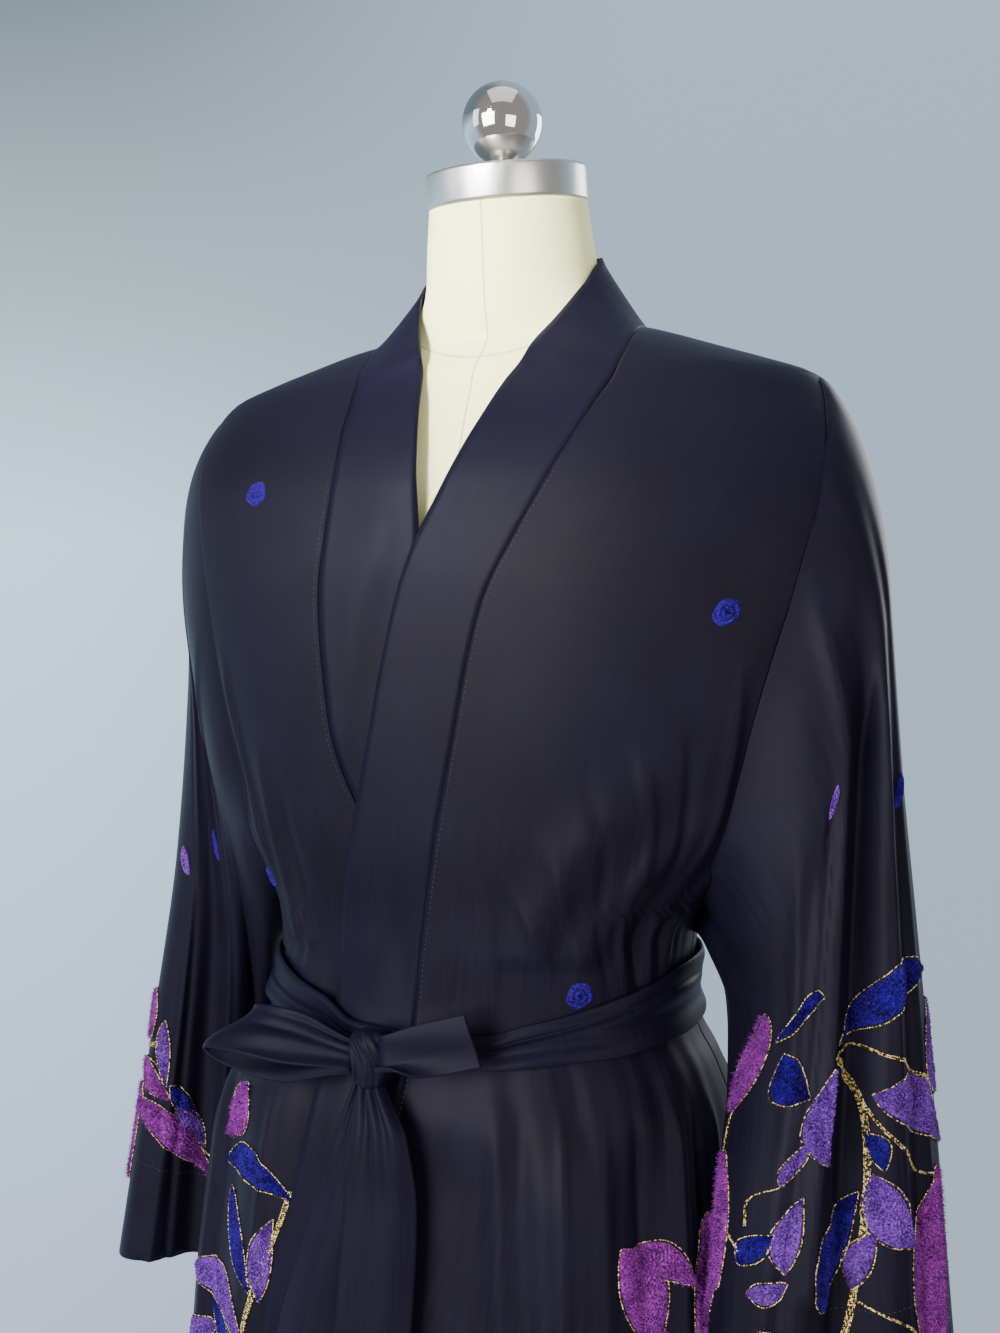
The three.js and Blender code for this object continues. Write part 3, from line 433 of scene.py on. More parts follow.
def cloth(name, points, thickness, material, closed=False, offset=-1.0, flip=False):
    """A woven piece with a cloth's thickness: inwards at offset -1, both ways at 0."""
    piece = woven(name, points, material, closed, flip)
    wall = piece.modifiers.new("cloth thickness", "SOLIDIFY")
    wall.thickness = thickness * MM
    wall.offset = offset
    print(name, "grid", points.shape[:2])
    return piece


def area_of(points, closed=False):
    """Area of a grid in square metres: half the cross products of each quad's diagonals."""
    p = np.concatenate([points, points[:, :1]], 1) if closed else points
    d1 = p[1:, 1:] - p[:-1, :-1]
    d2 = p[1:, :-1] - p[:-1, 1:]
    return float(np.linalg.norm(np.cross(d1, d2), axis=-1).sum() / 2) * MM * MM


print("faces of a grid of 3 by 4 points:", len(grid_faces(3, 4)))

# %% [markdown]
# ## Materials
# Colours are written as the sRGB values that a maker would pick from the photograph, and one
# function turns them to the linear light that shaders work in. One small helper adds a node
# with its settings and links, so that each material reads as a list of what it is made of.

# %% Colour, node and material helpers
def linear(code, alpha=1.0):
    """sRGB hex to linear light: each channel c becomes ((c + 0.055) / 1.055) to the power 2.4."""
    channels = [int(code[i : i + 2], 16) / 255 for i in (1, 3, 5)]
    bent = [c / 12.92 if c <= 0.04045 else ((c + 0.055) / 1.055) ** 2.4 for c in channels]
    return (*bent, alpha)


def add_node(tree, kind, settings=None, inputs=None, stops=()):
    """A node of a kind, with its settings, for each input a value or a socket to link, and for a
    colour ramp its stops as (place, colour)."""
    node = tree.nodes.new(kind)
    for key, value in (settings or {}).items():
        setattr(node, key, value)
    for key, value in (inputs or {}).items():
        if isinstance(value, bpy.types.NodeSocket):
            tree.links.new(value, node.inputs[key])
        else:
            node.inputs[key].default_value = value
    if stops:
        elements = node.color_ramp.elements
        while len(elements) < len(stops):
            elements.new(0.5)
        for element, (place, colour) in zip(elements, stops):
            element.position = place
            element.color = colour
    return node


def new_material(name, **values):
    """A Principled material by name; values are set on the shader's own sockets."""
    material = bpy.data.materials.new(name)
    material.use_nodes = True
    tree = material.node_tree
    shader = tree.nodes["Principled BSDF"]
    for key, value in values.items():
        shader.inputs[key.replace("_", " ")].default_value = value
    return material, tree, shader


print("middle grey, linear:", round(linear("#808080")[0], 3))

# %% [markdown]
# ### Silk crepe
# The robe is dark navy crepe: a plain weave of hard-twisted threads, about 0.25 mm apart, with a
# soft, broad sheen. Threads that fine don't show from a metre away, so the weave is drawn at
# 0.7 mm. A slow cloud of lighter and darker navy stands for how unevenly such cloth takes dye,
# and a stretched noise gives the faint upright slubs.

# %% Cloth materials
THREAD_MM = 0.7


def crepe(name, dark, light, sheen, roughness):
    """Woven cloth: two crossed waves as threads, a cloud and upright slubs in the colour."""
    material, tree, shader = new_material(
        name, Sheen_Weight=sheen, Sheen_Roughness=0.35, IOR=1.5,
        Sheen_Tint=linear("#8c80b4"), Specular_IOR_Level=0.07,
    )
    uv = add_node(tree, "ShaderNodeUVMap", {"uv_map": "cloth"}).outputs["UV"]
    place = add_node(tree, "ShaderNodeTexCoord").outputs["Object"]
    waves = [
        add_node(
            tree, "ShaderNodeTexWave", {"bands_direction": direction},
            {"Vector": uv, "Scale": np.pi / 10 / THREAD_MM, "Distortion": 0.6, "Detail": 1.0},
        ).outputs["Fac"]
        for direction in ("X", "Y")
    ]
    weave = add_node(
        tree, "ShaderNodeMath", {"operation": "MULTIPLY"}, {0: waves[0], 1: waves[1]}
    ).outputs[0]
    cloud = add_node(
        tree, "ShaderNodeTexNoise", None, {"Vector": place, "Scale": 14.0, "Detail": 3.0}
    ).outputs["Fac"]
    stretch = add_node(
        tree, "ShaderNodeMapping", None, {"Vector": uv, "Scale": (0.5, 0.02, 1)}
    ).outputs["Vector"]
    slub = add_node(
        tree, "ShaderNodeTexNoise", None, {"Vector": stretch, "Scale": 1.0, "Detail": 2.0}
    ).outputs["Fac"]
    both = add_node(tree, "ShaderNodeMath", {"operation": "ADD"}, {0: cloud, 1: slub}).outputs[0]
    spread = add_node(
        tree, "ShaderNodeMapRange", None, {"Value": both, "From Min": 0.7, "From Max": 1.3}
    ).outputs[0]
    colour = add_node(
        tree, "ShaderNodeValToRGB", None, {"Fac": spread},
        [(0.0, linear(dark)), (1.0, linear(light))],
    ).outputs["Color"]
    rough = add_node(
        tree, "ShaderNodeMapRange", None,
        {"Value": slub, "To Min": roughness - 0.05, "To Max": roughness + 0.07},
    ).outputs[0]
    bump = add_node(
        tree, "ShaderNodeBump", None, {"Height": weave, "Strength": 0.25, "Distance": 0.00012}
    )
    tree.links.new(colour, shader.inputs["Base Color"])
    tree.links.new(rough, shader.inputs["Roughness"])
    tree.links.new(bump.outputs[0], shader.inputs["Normal"])
    return material


robe_crepe = crepe("navy_silk_crepe", "#0d0b15", "#131120", 0.02, 0.46)
band_crepe = crepe("blue_navy_folded_crepe", "#0c0a17", "#120f21", 0.03, 0.47)
print("cloth materials:", robe_crepe.name, band_crepe.name)

# %% [markdown]
# ## Back and fronts
# The panels run from the neckline to the hem and meet at the side seams and armholes. Each is
# the panel function on a grid, from one seam to the other.

# %% Body panels
CLOTH_MM, BAND_MM = 0.9, 1.8
PANEL_ROWS, BACK_COLUMNS, LEFT_COLUMNS, RIGHT_COLUMNS = 170, 150, 120, 110
BACK_NECK_RISE, RISE_FROM_Z, RISE_OVER = 8.0, 1340.0, 70.0
SHOULDER_GAP = 0.05


def heights(top):
    """Heights from the top to the hem, closer together at the shoulder and the waist, with one row
    at each end of the armhole."""
    z = np.interp(
        np.linspace(0, 1, PANEL_ROWS), [0, 0.12, 0.45, 0.68, 1], [top, 1350, 1050, 880, HEM_Z]
    )
    for seam_z in (SHOULDER_Z, UNDERARM_Z):
        z[np.argmin(np.abs(z - seam_z))] = seam_z
    return z[:, None]


def back_points():
    """Back panel: turn from armhole to armhole; the neckline rises at the middle."""
    z = heights(NECK_Z)
    turn = mix(-side_turn(z, -1), side_turn(z, 1), np.linspace(0, 1, BACK_COLUMNS)[None, :])
    p = panel_point(z, turn, True)
    rise = BACK_NECK_RISE * ease((z - RISE_FROM_Z) / RISE_OVER)
    p[..., 2] += rise * np.cos(np.radians(turn)) ** 2
    return p


def front_points(hand, band, cols):
    """A front: turn from its band seam to the armhole and the side seam. It ends a hair below the
    back's top, so that the two don't share an edge."""
    z = heights(NECK_Z - SHOULDER_GAP)
    start = turn_at(z, column(band, "z", "seam", z))
    turn = mix(start, hand * side_turn(z, hand), np.linspace(0, 1, cols)[None, :])
    return panel_point(z, turn, False, underlap(hand, z, robe_plan(z, turn, False)[..., 0]))


back_grid = back_points()
left_grid = front_points(1, LEFT_BAND, LEFT_COLUMNS)
right_grid = front_points(-1, RIGHT_BAND, RIGHT_COLUMNS)
for node, grid in (("back", back_grid), ("front_left", left_grid), ("front_right", right_grid)):
    piece = cloth("robe_" + node, grid, CLOTH_MM, robe_crepe, flip=node != "front_left")
    stands_for(piece, node)
print("panel areas, m2:", [round(area_of(g), 3) for g in (back_grid, left_grid, right_grid)])

# %% [markdown]
# ## Sleeves
# A kimono sleeve is a straight tube, as deep as the armhole. Worn, it hangs in one long fold
# from the shoulder, so each section runs from an outer fold line to an inner one, with a front
# and a back face between them. Near the armhole the section blends into the seam's own curve.

# %% Sleeves
SLEEVE_FINE = {
    1: table(
        FOLD_NAMES,
        (0.36, 0.06, 0.74, 0.9, 0.028, 5), (0.12, 0.12, 0.25, 1, 0.024, -4.4),
        (0.08, 0.2, 0.16, 1, 0.022, 3.4), (0.45, 0.4, 0.7, 1, 0.026, 3.8),
        (0.7, 0.2, 0.92, 1, 0.035, 3.4), (0.2, 0.3, 0.34, 1, 0.02, 3.4),
        (0.5, 0.15, 0.86, 0.95, 0.022, -3.4),
    ),
    -1: table(
        FOLD_NAMES,
        (0.2, 0.12, 0.2, 1, 0.032, 3.6), (0.42, 0.1, 0.62, 1, 0.03, 3.8),
        (0.7, 0.2, 0.85, 1, 0.04, -3.6), (0.12, 0.3, 0.3, 1, 0.024, -3),
    ),
}
SLEEVE_BACK_FINE = table(
    FOLD_NAMES,
    (0.2, 0.1, 0.25, 1, 0.05, 4), (0.62, 0.1, 0.72, 1, 0.05, 4), (0.8, 0.3, 0.9, 1, 0.04, -3),
)
SLEEVE_FOLD_START, SLEEVE_FINE_START, ARMHOLE_SHARE = 0.2, 0.15, 0.3
SLEEVE_ROWS, SLEEVE_AROUND, ROW_SPREAD = 150, 72, 1.05


def armhole_point(hand, w, behind):
    """Point of the armhole seam: w runs from the shoulder to the underarm."""
    z = mix(SHOULDER_Z, UNDERARM_Z, w)
    return panel_point(z, hand * side_turn(z, hand), behind)


def sleeve_point(hand, rows, folds, w, t, behind):
    """Sleeve face: the line from the outer to the inner fold, plus an arch of the rounded-box
    kind along the face's direction, plus folds; near the armhole mixed into the seam's curve."""
    w, t = np.broadcast_arrays(w, t)
    value = columns(rows, "t", SLEEVE_NAMES[2:], t)
    outer = np.stack([value["outX"], value["outY"], value["outZ"]], -1)
    inner = np.stack([value["inX"], value["inY"], value["inZ"]], -1)
    turn = np.radians(value["turn"])
    face = np.stack([np.sin(turn), -np.cos(turn), np.zeros(turn.shape)], -1)
    arch = (1 - np.abs(2 * w - 1) ** SQUARE) ** (1 / SQUARE)
    fine = SLEEVE_BACK_FINE if behind else SLEEVE_FINE[hand]
    rise = fold_rise(SLEEVE_BACK_FOLDS if behind else folds, w, t, SLEEVE_FOLD_START)
    rise = rise + fold_rise(fine, w, t, SLEEVE_FINE_START)
    stand = value["back"] if behind else value["front"]
    sign = -1 if behind else 1
    p = mix(outer, inner, w[..., None]) + face * (sign * (stand + rise) * arch)[..., None]
    p[..., 0] += hand * value["bow"] * 4 * w * (1 - w)
    return mix(armhole_point(hand, w, behind), p, ease(t / ARMHOLE_SHARE)[..., None])


def sleeve_points(hand, rows, folds):
    """The whole tube: the front face from outer to inner fold, then the back face home. Across a
    face, points lie as 1 less cosine, close together at the folds."""
    w = (1 - np.cos(np.pi * np.arange(SLEEVE_AROUND + 1) / SLEEVE_AROUND)) / 2
    t = np.linspace(0, 1, SLEEVE_ROWS)[:, None] ** ROW_SPREAD
    fore = sleeve_point(hand, rows, folds, w[None, :-1], t, False)
    rear = sleeve_point(hand, rows, folds, w[None, :0:-1], t, True)
    return np.concatenate([fore, rear], 1)


sleeve_grids = {
    1: sleeve_points(1, LEFT_SLEEVE, LEFT_SLEEVE_FOLDS),
    -1: sleeve_points(-1, RIGHT_SLEEVE, RIGHT_SLEEVE_FOLDS),
}
for hand, node in ((1, "sleeve_left"), (-1, "sleeve_right")):
    piece = cloth("robe_" + node, sleeve_grids[hand], CLOTH_MM, robe_crepe, True, flip=hand > 0)
    stands_for(piece, node)
print("sleeve areas, m2:", [round(area_of(g, True), 3) for g in sleeve_grids.values()])

# %% [markdown]
# ## Neck and front bands
# The band is a folded strip about 60 mm wide. It stands up round the back of the neck, lies
# down over the shoulders and runs to the hem along both front edges. Each station joins a
# point on the seam to a point on the free edge, and the lower ones lie on the robe's surface.

# %% Bands
BAND_ROWS, BAND_COLUMNS, BAND_LIFT, BAND_CROWN = 260, 14, 0.3, 0.9
# Heights of the stations below the lapel, where the seam and the edge lie level.
LEVEL_Z = np.array([1146, 1100, 1054, 1016, 980, 940, 900, 850, 780, 700, 600, 500, HEM_Z])


def front_surface(hand, z, x):
    """Point of a front at a height and an x."""
    return panel_point(z, turn_at(z, x), False, underlap(hand, z, x))


def band_rails(hand, band):
    """Seam points and free-edge points along the band, both read between the stations."""
    ring = robe_plan(np.full(len(NECK["turn"]), NECK_Z), hand * NECK["turn"], True)
    ring[:, 2] += BACK_NECK_RISE * np.cos(np.radians(NECK["turn"])) ** 2
    neck_edge = np.stack([hand * NECK["x"], NECK["y"], NECK["z"]], -1)
    collar_z = COLLAR["seamZ"]
    collar_seam = front_surface(hand, collar_z, column(band, "z", "seam", collar_z))
    collar_edge = np.stack([hand * COLLAR["x"], COLLAR["y"], COLLAR["z"]], -1)
    seam_z = np.concatenate([LAPEL["seamZ"], LEVEL_Z])
    edge_z = np.concatenate([LAPEL["edgeZ"], LEVEL_Z])
    fixed = len(NECK["x"]) + len(collar_z)
    stations = np.arange(fixed + len(seam_z), dtype=float)
    at = np.linspace(0, stations[-1], BAND_ROWS)
    low_seam_z = np.interp(at, stations[fixed:], seam_z)
    low_edge_z = np.interp(at, stations[fixed:], edge_z)
    rails = []
    for head, low_z, name in (
        (np.concatenate([ring, collar_seam]), low_seam_z, "seam"),
        (np.concatenate([neck_edge, collar_edge]), low_edge_z, "edge"),
    ):
        lower = front_surface(hand, low_z, column(band, "z", name, low_z))
        first_low = np.searchsorted(at, fixed)
        joined = np.concatenate([head, lower[first_low][None]])
        keys = {"s": np.append(stations[:fixed], at[first_low])}
        keys.update({axis: joined[:, k] for k, axis in enumerate("xyz")})
        upper = np.stack([column(keys, "s", axis, at) for axis in "xyz"], -1)
        rails.append(np.where((at >= fixed)[:, None], lower, upper))
    return rails[0], rails[1], at, fixed


def band_points(hand, band):
    """Across the band: a straight share between the rails, laid on the robe's surface below the
    collar; the two long edges round down by half the thickness."""
    seam, edge, at, fixed = band_rails(hand, band)
    share = np.linspace(0, 1, BAND_COLUMNS)[None, :, None]
    p = mix(seam[:, None], edge[:, None], share)
    low = at >= fixed - 1
    laid = front_surface(hand, p[low][..., 2], p[low][..., 0])
    p[low] = mix(p[low], laid, ease(at[low] - (fixed - 1))[:, None, None])
    inward = hand * unit(np.cross(np.gradient(p, axis=1), np.gradient(p, axis=0)))
    crown = 1 - np.abs(2 * share - 1) ** 8
    return p - inward * (BAND_LIFT + BAND_CROWN * crown)


band_grids = {1: band_points(1, LEFT_BAND), -1: band_points(-1, RIGHT_BAND)}
for hand, node in ((1, "band_left"), (-1, "band_right")):
    piece = cloth("robe_" + node, band_grids[hand], BAND_MM, band_crepe, flip=hand > 0)
    stands_for(piece, node)
print("band areas, m2:", [round(area_of(g), 3) for g in band_grids.values()])

# %% [markdown]
# ## Sash
# One long strip goes round the waist, crushed to lengthwise folds at the front, and is tied at
# the wearer's right in a half bow: a knot, one loop, a short end and two hanging tails.

# %% Sash round the waist
SASH_STAND, SASH_CLOTH_MM = 4.6, 1.6
SASH_ROWS, SASH_AROUND = 44, 360


def sash_point(turn, share, out=0.0):
    """Robe plan at the sash's height, moved out past the cloth, and by its lengthwise folds."""
    turn, share = np.broadcast_arrays(np.asarray(turn, float), np.asarray(share, float))
    z = column(SASH, "turn", "z", turn) + share * column(SASH, "turn", "half", turn)
    behind = np.abs(turn) > 90
    own = np.where(behind, np.sign(turn) * (180 - np.abs(turn)), turn)
    return robe_plan(z, own, behind) + outward(z, own, behind) * (SASH_STAND + out)[..., None]


def sash_points():
    """Round the waist; folds are waves along the strip that drift up and down with the turn, and
    in front one half overlaps the other: a step of hyperbolic-tangent form beside a valley."""
    turn = np.linspace(-180, 180, SASH_AROUND + 1)[None, :-1]
    share = np.linspace(1, -1, SASH_ROWS)[:, None]
    drift = 0.25 * np.sin(np.radians(2 * turn + 40)) + 0.12 * np.sin(np.radians(5 * turn))
    fold = 1.1 * np.sin(2 * np.pi * (0.62 * share + drift)) + 0.5 * np.sin(
        2 * np.pi * (1.3 * share - 1.6 * drift)
    )
    edge = -1.2 * np.abs(share) ** 6
    line = share - 0.18 - 0.3 * np.sin(np.radians(1.5 * turn))
    overlap = 0.8 * np.tanh(-line / 0.06) - 1.3 * np.exp(-((line / 0.09) ** 2))
    ahead = ease((100 - np.abs(turn)) / 20)
    return sash_point(turn, share, 0.7 * fold + overlap * ahead + edge + 1.2)


sash_grid = sash_points()
sash_wrap = cloth("sash_round_waist", sash_grid, SASH_CLOTH_MM, band_crepe, True)
stands_for(sash_wrap, "sash_wrap")
print("sash height at the front, mm:", 2 * float(column(SASH, "turn", "half", 0.0)))

# %% [markdown]
# ### Knot
# The knot is a turn of the strip drawn tight. A real turn would need the strip's whole path
# through it; from outside only a rounded block with slanting creases shows, so that is built.

# %% Knot
KNOT_X, KNOT_Z = -46.0, 950.0
KNOT_HALF = np.array([13.0, 11.0, 18.0])
KNOT_STAND, KNOT_ROUNDNESS, KNOT_CREASE_MM, KNOT_FINE_MM = 1.7, 0.62, 9.5, 4.1


def knot_centre():
    """Just outside the sash at the knot's place."""
    front = sash_point(turn_at(np.float64(KNOT_Z), np.float64(KNOT_X)), 0.0, np.float64(0))
    half_cloth = 1.1
    return np.array([KNOT_X, front[1] - half_cloth - KNOT_HALF[1] - KNOT_STAND, KNOT_Z])


def knot_points():
    """Turn of cloth over the sash: a rounded block, sine and cosine to a power below one, that
    narrows downwards, with creases that run down it aslant."""
    high = np.linspace(-np.pi / 2, np.pi / 2, 71)[:, None]
    turn = full_turn(140)
    bend = lambda v: np.sign(v) * np.abs(v) ** KNOT_ROUNDNESS  # noqa: E731
    taper = 1 + 0.2 * np.sin(high)
    x = KNOT_HALF[0] * bend(np.cos(high)) * bend(np.cos(turn)) * taper
    z = KNOT_HALF[2] * bend(np.sin(high)) * np.ones(turn.shape)
    slant = x + 0.28 * z + 0.02 * z * z
    crease = 0.9 * np.cos(2 * np.pi * slant / KNOT_CREASE_MM)
    crease += 0.4 * np.cos(2 * np.pi * slant / KNOT_FINE_MM + 1)
    y = (KNOT_HALF[1] + crease * np.abs(np.sin(turn))) * bend(np.cos(high)) * bend(np.sin(turn))
    return knot_centre() + np.stack([x, y, z], -1)


def sash_piece(name, node, points, closed=False):
    """One part of the sash as cloth in the band's crepe, as thick on one side as on the other."""
    piece = cloth(name, points, SASH_CLOTH_MM, band_crepe, closed, offset=0.0)
    stands_for(piece, node)


knot = woven("sash_knot_turn", knot_points(), band_crepe, closed=True)
stands_for(knot, "sash_knot")
print("knot centre, mm:", knot_centre().round(1))

# %% [markdown]
# ### Loop
# The loop is the strip folded back on itself, shorter along its upper edge, so that one sees into
# it from the front. Its two layers are one closed ring of points, out and home, that a sine parts.

# %% Loop
LOOP_REACH, LOOP_OPENING, LOOP_WIDTH, LOOP_DROP = 106.0, 13.0, 34.0, 8.0


def loop_points():
    """Strip turned back on itself: along goes out and home as 1 less cosine, the two layers part
    by a sine, the upper edge is shorter, and creases run out from the knot."""
    heading, side = unit(np.array([-0.98, 0.08, 0.09])), unit(np.array([-0.1, 0.55, 0.83]))
    thick = unit(np.cross(heading, side))
    start = knot_centre() + heading * (KNOT_HALF[0] - 1.5) - np.array([0, 5, 0])
    share = np.linspace(0.5, -0.5, 30)[:, None]
    turn = full_turn(140)
    along = (1 - np.cos(turn)) / 2
    swell = mix(0.3, 1, ease(along / 0.75))
    fading = ease((1 - along) / 0.5)
    crease = -1.8 * np.exp(-(((share - 0.1) / 0.09) ** 2))
    crease = crease - 1.3 * np.exp(-(((share - 0.36) / 0.07) ** 2))
    ripple = 0.9 * np.sin(11 * share + 4 * along)
    open_by = LOOP_OPENING * swell * np.sin(turn)
    open_by = open_by + (crease + ripple) * fading * np.sign(np.sin(turn))
    wide = share * LOOP_WIDTH * mix(0.6, 1, ease(along / 0.5))
    reach = LOOP_REACH * (1 - 0.3 * ease(share + 0.5))
    p = (
        start + heading * (reach * along)[..., None]
        + thick * open_by[..., None] + side * wide[..., None]
    )
    p[..., 2] -= LOOP_DROP * swell * np.clip(np.sin(turn), 0, 1)
    return p


sash_piece("sash_bow_loop", "sash_loop", loop_points(), closed=True)
print("loop area, m2:", round(area_of(loop_points(), True), 4))

# %% [markdown]
# ### Short end
# The short end lies towards the wearer's left. Its lower edge has rolled forward where the knot
# pinches it, and lies flat at the hem: an arc across the strip whose radius grows.

# %% Short end
END_RUN = np.array([63.0, 3.0, 17.0])
END_HALF_NEAR, END_HALF_FAR, END_LEAN = 14.0, 16.0, -0.35
ROLL_NEAR, ROLL_FAR = 3.6, 60.0


def short_end_points():
    """The short end: a strip that rounds out of the knot and ends in a slanting hem. Near the knot
    its lower edge rolls forward round an arc, whose radius grows until the strip lies flat."""
    start = knot_centre() + np.array([7.0, -KNOT_HALF[1] - 3.0, 2.0])
    s = np.linspace(0, 1, 70)[:, None]
    share = np.linspace(-1, 1, 50)[None, :]
    lean = END_LEAN * s
    over = unit(np.stack([lean, np.full(lean.shape, -0.1), np.ones(lean.shape)], -1))
    half = mix(END_HALF_NEAR, END_HALF_FAR, ease(s / 0.6))
    free, bend_at = share * half, -0.2 * half
    radius = mix(ROLL_NEAR, ROLL_FAR, ease(s / 1.1) ** 2)
    angle = np.maximum(0, bend_at - free) / radius
    flat = np.maximum(free, bend_at) - radius * np.sin(angle)
    p = start + s[..., None] * END_RUN + over * flat[..., None]
    rounding = 8 * (1 - np.minimum(s / 0.14, 1)) ** 2
    wave = 0.8 * np.sin(4 * share + 3 * s) * (1 - s)
    p[..., 1] += 2.4 * np.maximum(share, 0) ** 2 + wave + rounding - radius * (1 - np.cos(angle))
    return p


sash_piece("sash_short_end", "sash_end_short", short_end_points())
print("short end area, m2:", round(area_of(short_end_points()), 4))

# %% [markdown]
# ### Tails
# Two tails hang from the knot down the skirt. They follow the robe's own surface and stand off
# it, so they can't cut into its folds. Their own folds begin below the knot.

# %% Tails
FRONT_TAIL = table(
    "z x half stand",
    (560, -47, 24, 14), (700, -44, 24, 14), (785, -40, 24, 15), (860, -36, 23, 16),
    (905, -37, 18, 18), (932.6, -45, 9, 18),
)
BACK_TAIL = table(
    "z x half stand",
    (640, -108, 23, 8), (720, -97, 23, 8), (781, -86, 23, 8), (849, -65, 22, 8),
    (900, -55, 16, 8.5), (932, -51, 8, 12.5),
)


def tail_points(rows, count, phase):
    """A tail on the robe's own surface, standing off it. Broad folds begin below the knot, and
    narrow gathers run out of it; both are waves across the tail."""
    top = rows["z"][-1]
    z = np.linspace(top + 3, rows["z"][0], count)[:, None]
    share = np.linspace(-1, 1, 30)[None, :]
    value = columns(rows, "z", "x half stand", z)
    x = value["x"] + share * value["half"]
    fold = 1.3 * np.sin(3.4 * share + phase) * ease((top + 40 - z) / 60)
    fold = fold + 1.6 * np.cos(9 * share + phase) * ease((z - top + 90) / 90)
    stand = value["stand"] - 2.5 * share**2 + fold
    return panel_point(z + 0 * x, turn_at(z + 0 * x, x), False, stand)


sash_piece("sash_front_tail", "sash_tail_front", tail_points(FRONT_TAIL, 120, 0.4))
sash_piece("sash_back_tail", "sash_tail_back", tail_points(BACK_TAIL, 100, 2.0))
print("tails end at, mm:", FRONT_TAIL["z"][0], BACK_TAIL["z"][0])

# %% [markdown]
# ## The cut of the cloth
# Each cloth piece is listed in a table of sheets: the rectangle it is cut from, in metres, its own
# flat area where it isn't a rectangle, how it is held and what it rests on.

# %% Sheets
SHEETS = {
    "back": ((0.56, 1.06), 0.53, "draped", ["form_torso"]),
    "front_left": ((0.38, 1.1), 0.29, "draped", ["form_torso"]),
    "front_right": ((0.38, 1.1), 0.29, "draped", ["form_torso"]),
    "sleeve_left": ((0.72, 0.62), 0.23, "hung", ["form_torso"]),
    "sleeve_right": ((0.72, 0.62), 0.23, "hung", ["form_torso"]),
    "band_left": ((0.062, 1.26), None, "draped", ["front_left"]),
    "band_right": ((0.062, 1.26), None, "draped", ["front_right"]),
    "sash_wrap": ((0.048, 0.83), None, "gathered", ["front_left", "front_right", "back"]),
    "sash_loop": ((0.042, 0.2), None, "gathered", ["sash_knot"]),
    "sash_end_short": ((0.036, 0.072), None, "gathered", ["sash_knot"]),
    "sash_tail_front": ((0.048, 0.38), None, "hung", ["sash_knot"]),
    "sash_tail_back": ((0.046, 0.3), None, "hung", ["sash_knot"]),
}
for node, (flat, area, held, rests_on) in SHEETS.items():
    extra = {} if area is None else {"area": area}
    if node == "sash_wrap":
        extra["with_pieces"] = [knot]
print("sheets declared:", len(SHEETS))

# %% [markdown]
# ## Embroidery: a map of each piece
# Stitches lie on cloth, so each motif is drawn flat, in millimetres, and carried onto its piece
# by a map: rows of the piece's own grid, measured by length across and down. The motifs are
# leaves on gold stems, a common theme on such robes, in a layout of our own.

# %% Maps of the pieces
CHART_STEP = 1.0


class Chart:
    """Points of a grid read by length across (a) and down (b), with the outward normal. Each row
    is resampled at even lengths from its column of origin, so reading it is a two-way mix. A
    closed grid is cut opposite its first column, which is its origin."""

    def __init__(self, grid, origin, out, closed=False):
        p = grid
        if closed:
            origin = grid.shape[1] // 2
            p = np.concatenate([grid[:, origin:], grid[:, : origin + 1]], 1)
        self.b = lengths_along(p[:, origin])
        lengths = np.array([lengths_along(row) for row in p])
        lengths -= lengths[:, origin : origin + 1]
        self.low = float(np.floor(lengths.min()))
        even = np.arange(self.low, lengths.max() + CHART_STEP, CHART_STEP)
        self.points = np.array([
            np.stack([np.interp(even, length, row[:, k]) for k in range(3)], -1)
            for length, row in zip(lengths, p)
        ])
        across = np.gradient(self.points, axis=1)
        along = np.gradient(self.points, self.b, axis=0)
        self.normals = unit(np.cross(across, along) * out)

    def at(self, a, b, lift=0.0):
        """Point at (a, b), moved out by lift, and the normal there."""
        a, b = np.broadcast_arrays(np.asarray(a, float), np.asarray(b, float))
        fb = np.interp(b, self.b, np.arange(len(self.b)))
        fa = np.clip((a - self.low) / CHART_STEP, 0, self.points.shape[1] - 1.001)
        i = np.minimum(fb.astype(int), len(self.b) - 2)
        j = fa.astype(int)
        u, v = (fb - i)[..., None], (fa - j)[..., None]
        place, n = [
            mix(mix(f[i, j], f[i, j + 1], v), mix(f[i + 1, j], f[i + 1, j + 1], v), u)
            for f in (self.points, self.normals)
        ]
        n = unit(n)
        return place + n * np.broadcast_to(lift, a.shape)[..., None], n


CHARTS = {
    "front_left": Chart(left_grid[1:], 0, -1),
    "front_right": Chart(right_grid[1:], 0, 1),
    "sleeve_left": Chart(sleeve_grids[1], 0, 1, closed=True),
    "sleeve_right": Chart(sleeve_grids[-1], 0, -1, closed=True),
}
for name, chart in CHARTS.items():
    middle, normal = chart.at(np.array([60.0]), np.array([200.0]))
    print(name, "length down, mm:", round(chart.b[-1]), "at", middle[0].round(), normal[0].round(2))

# %% [markdown]
# ## Chenille leaves and gold thread
# The embroidery is made of leaves, stems and dots. A leaf is a curved spine and a width that
# swells and closes again, so seven numbers in a row of a table hold it: foot, tip, half width,
# bend and colour. A stem is a short list of places that a smooth curve runs through.

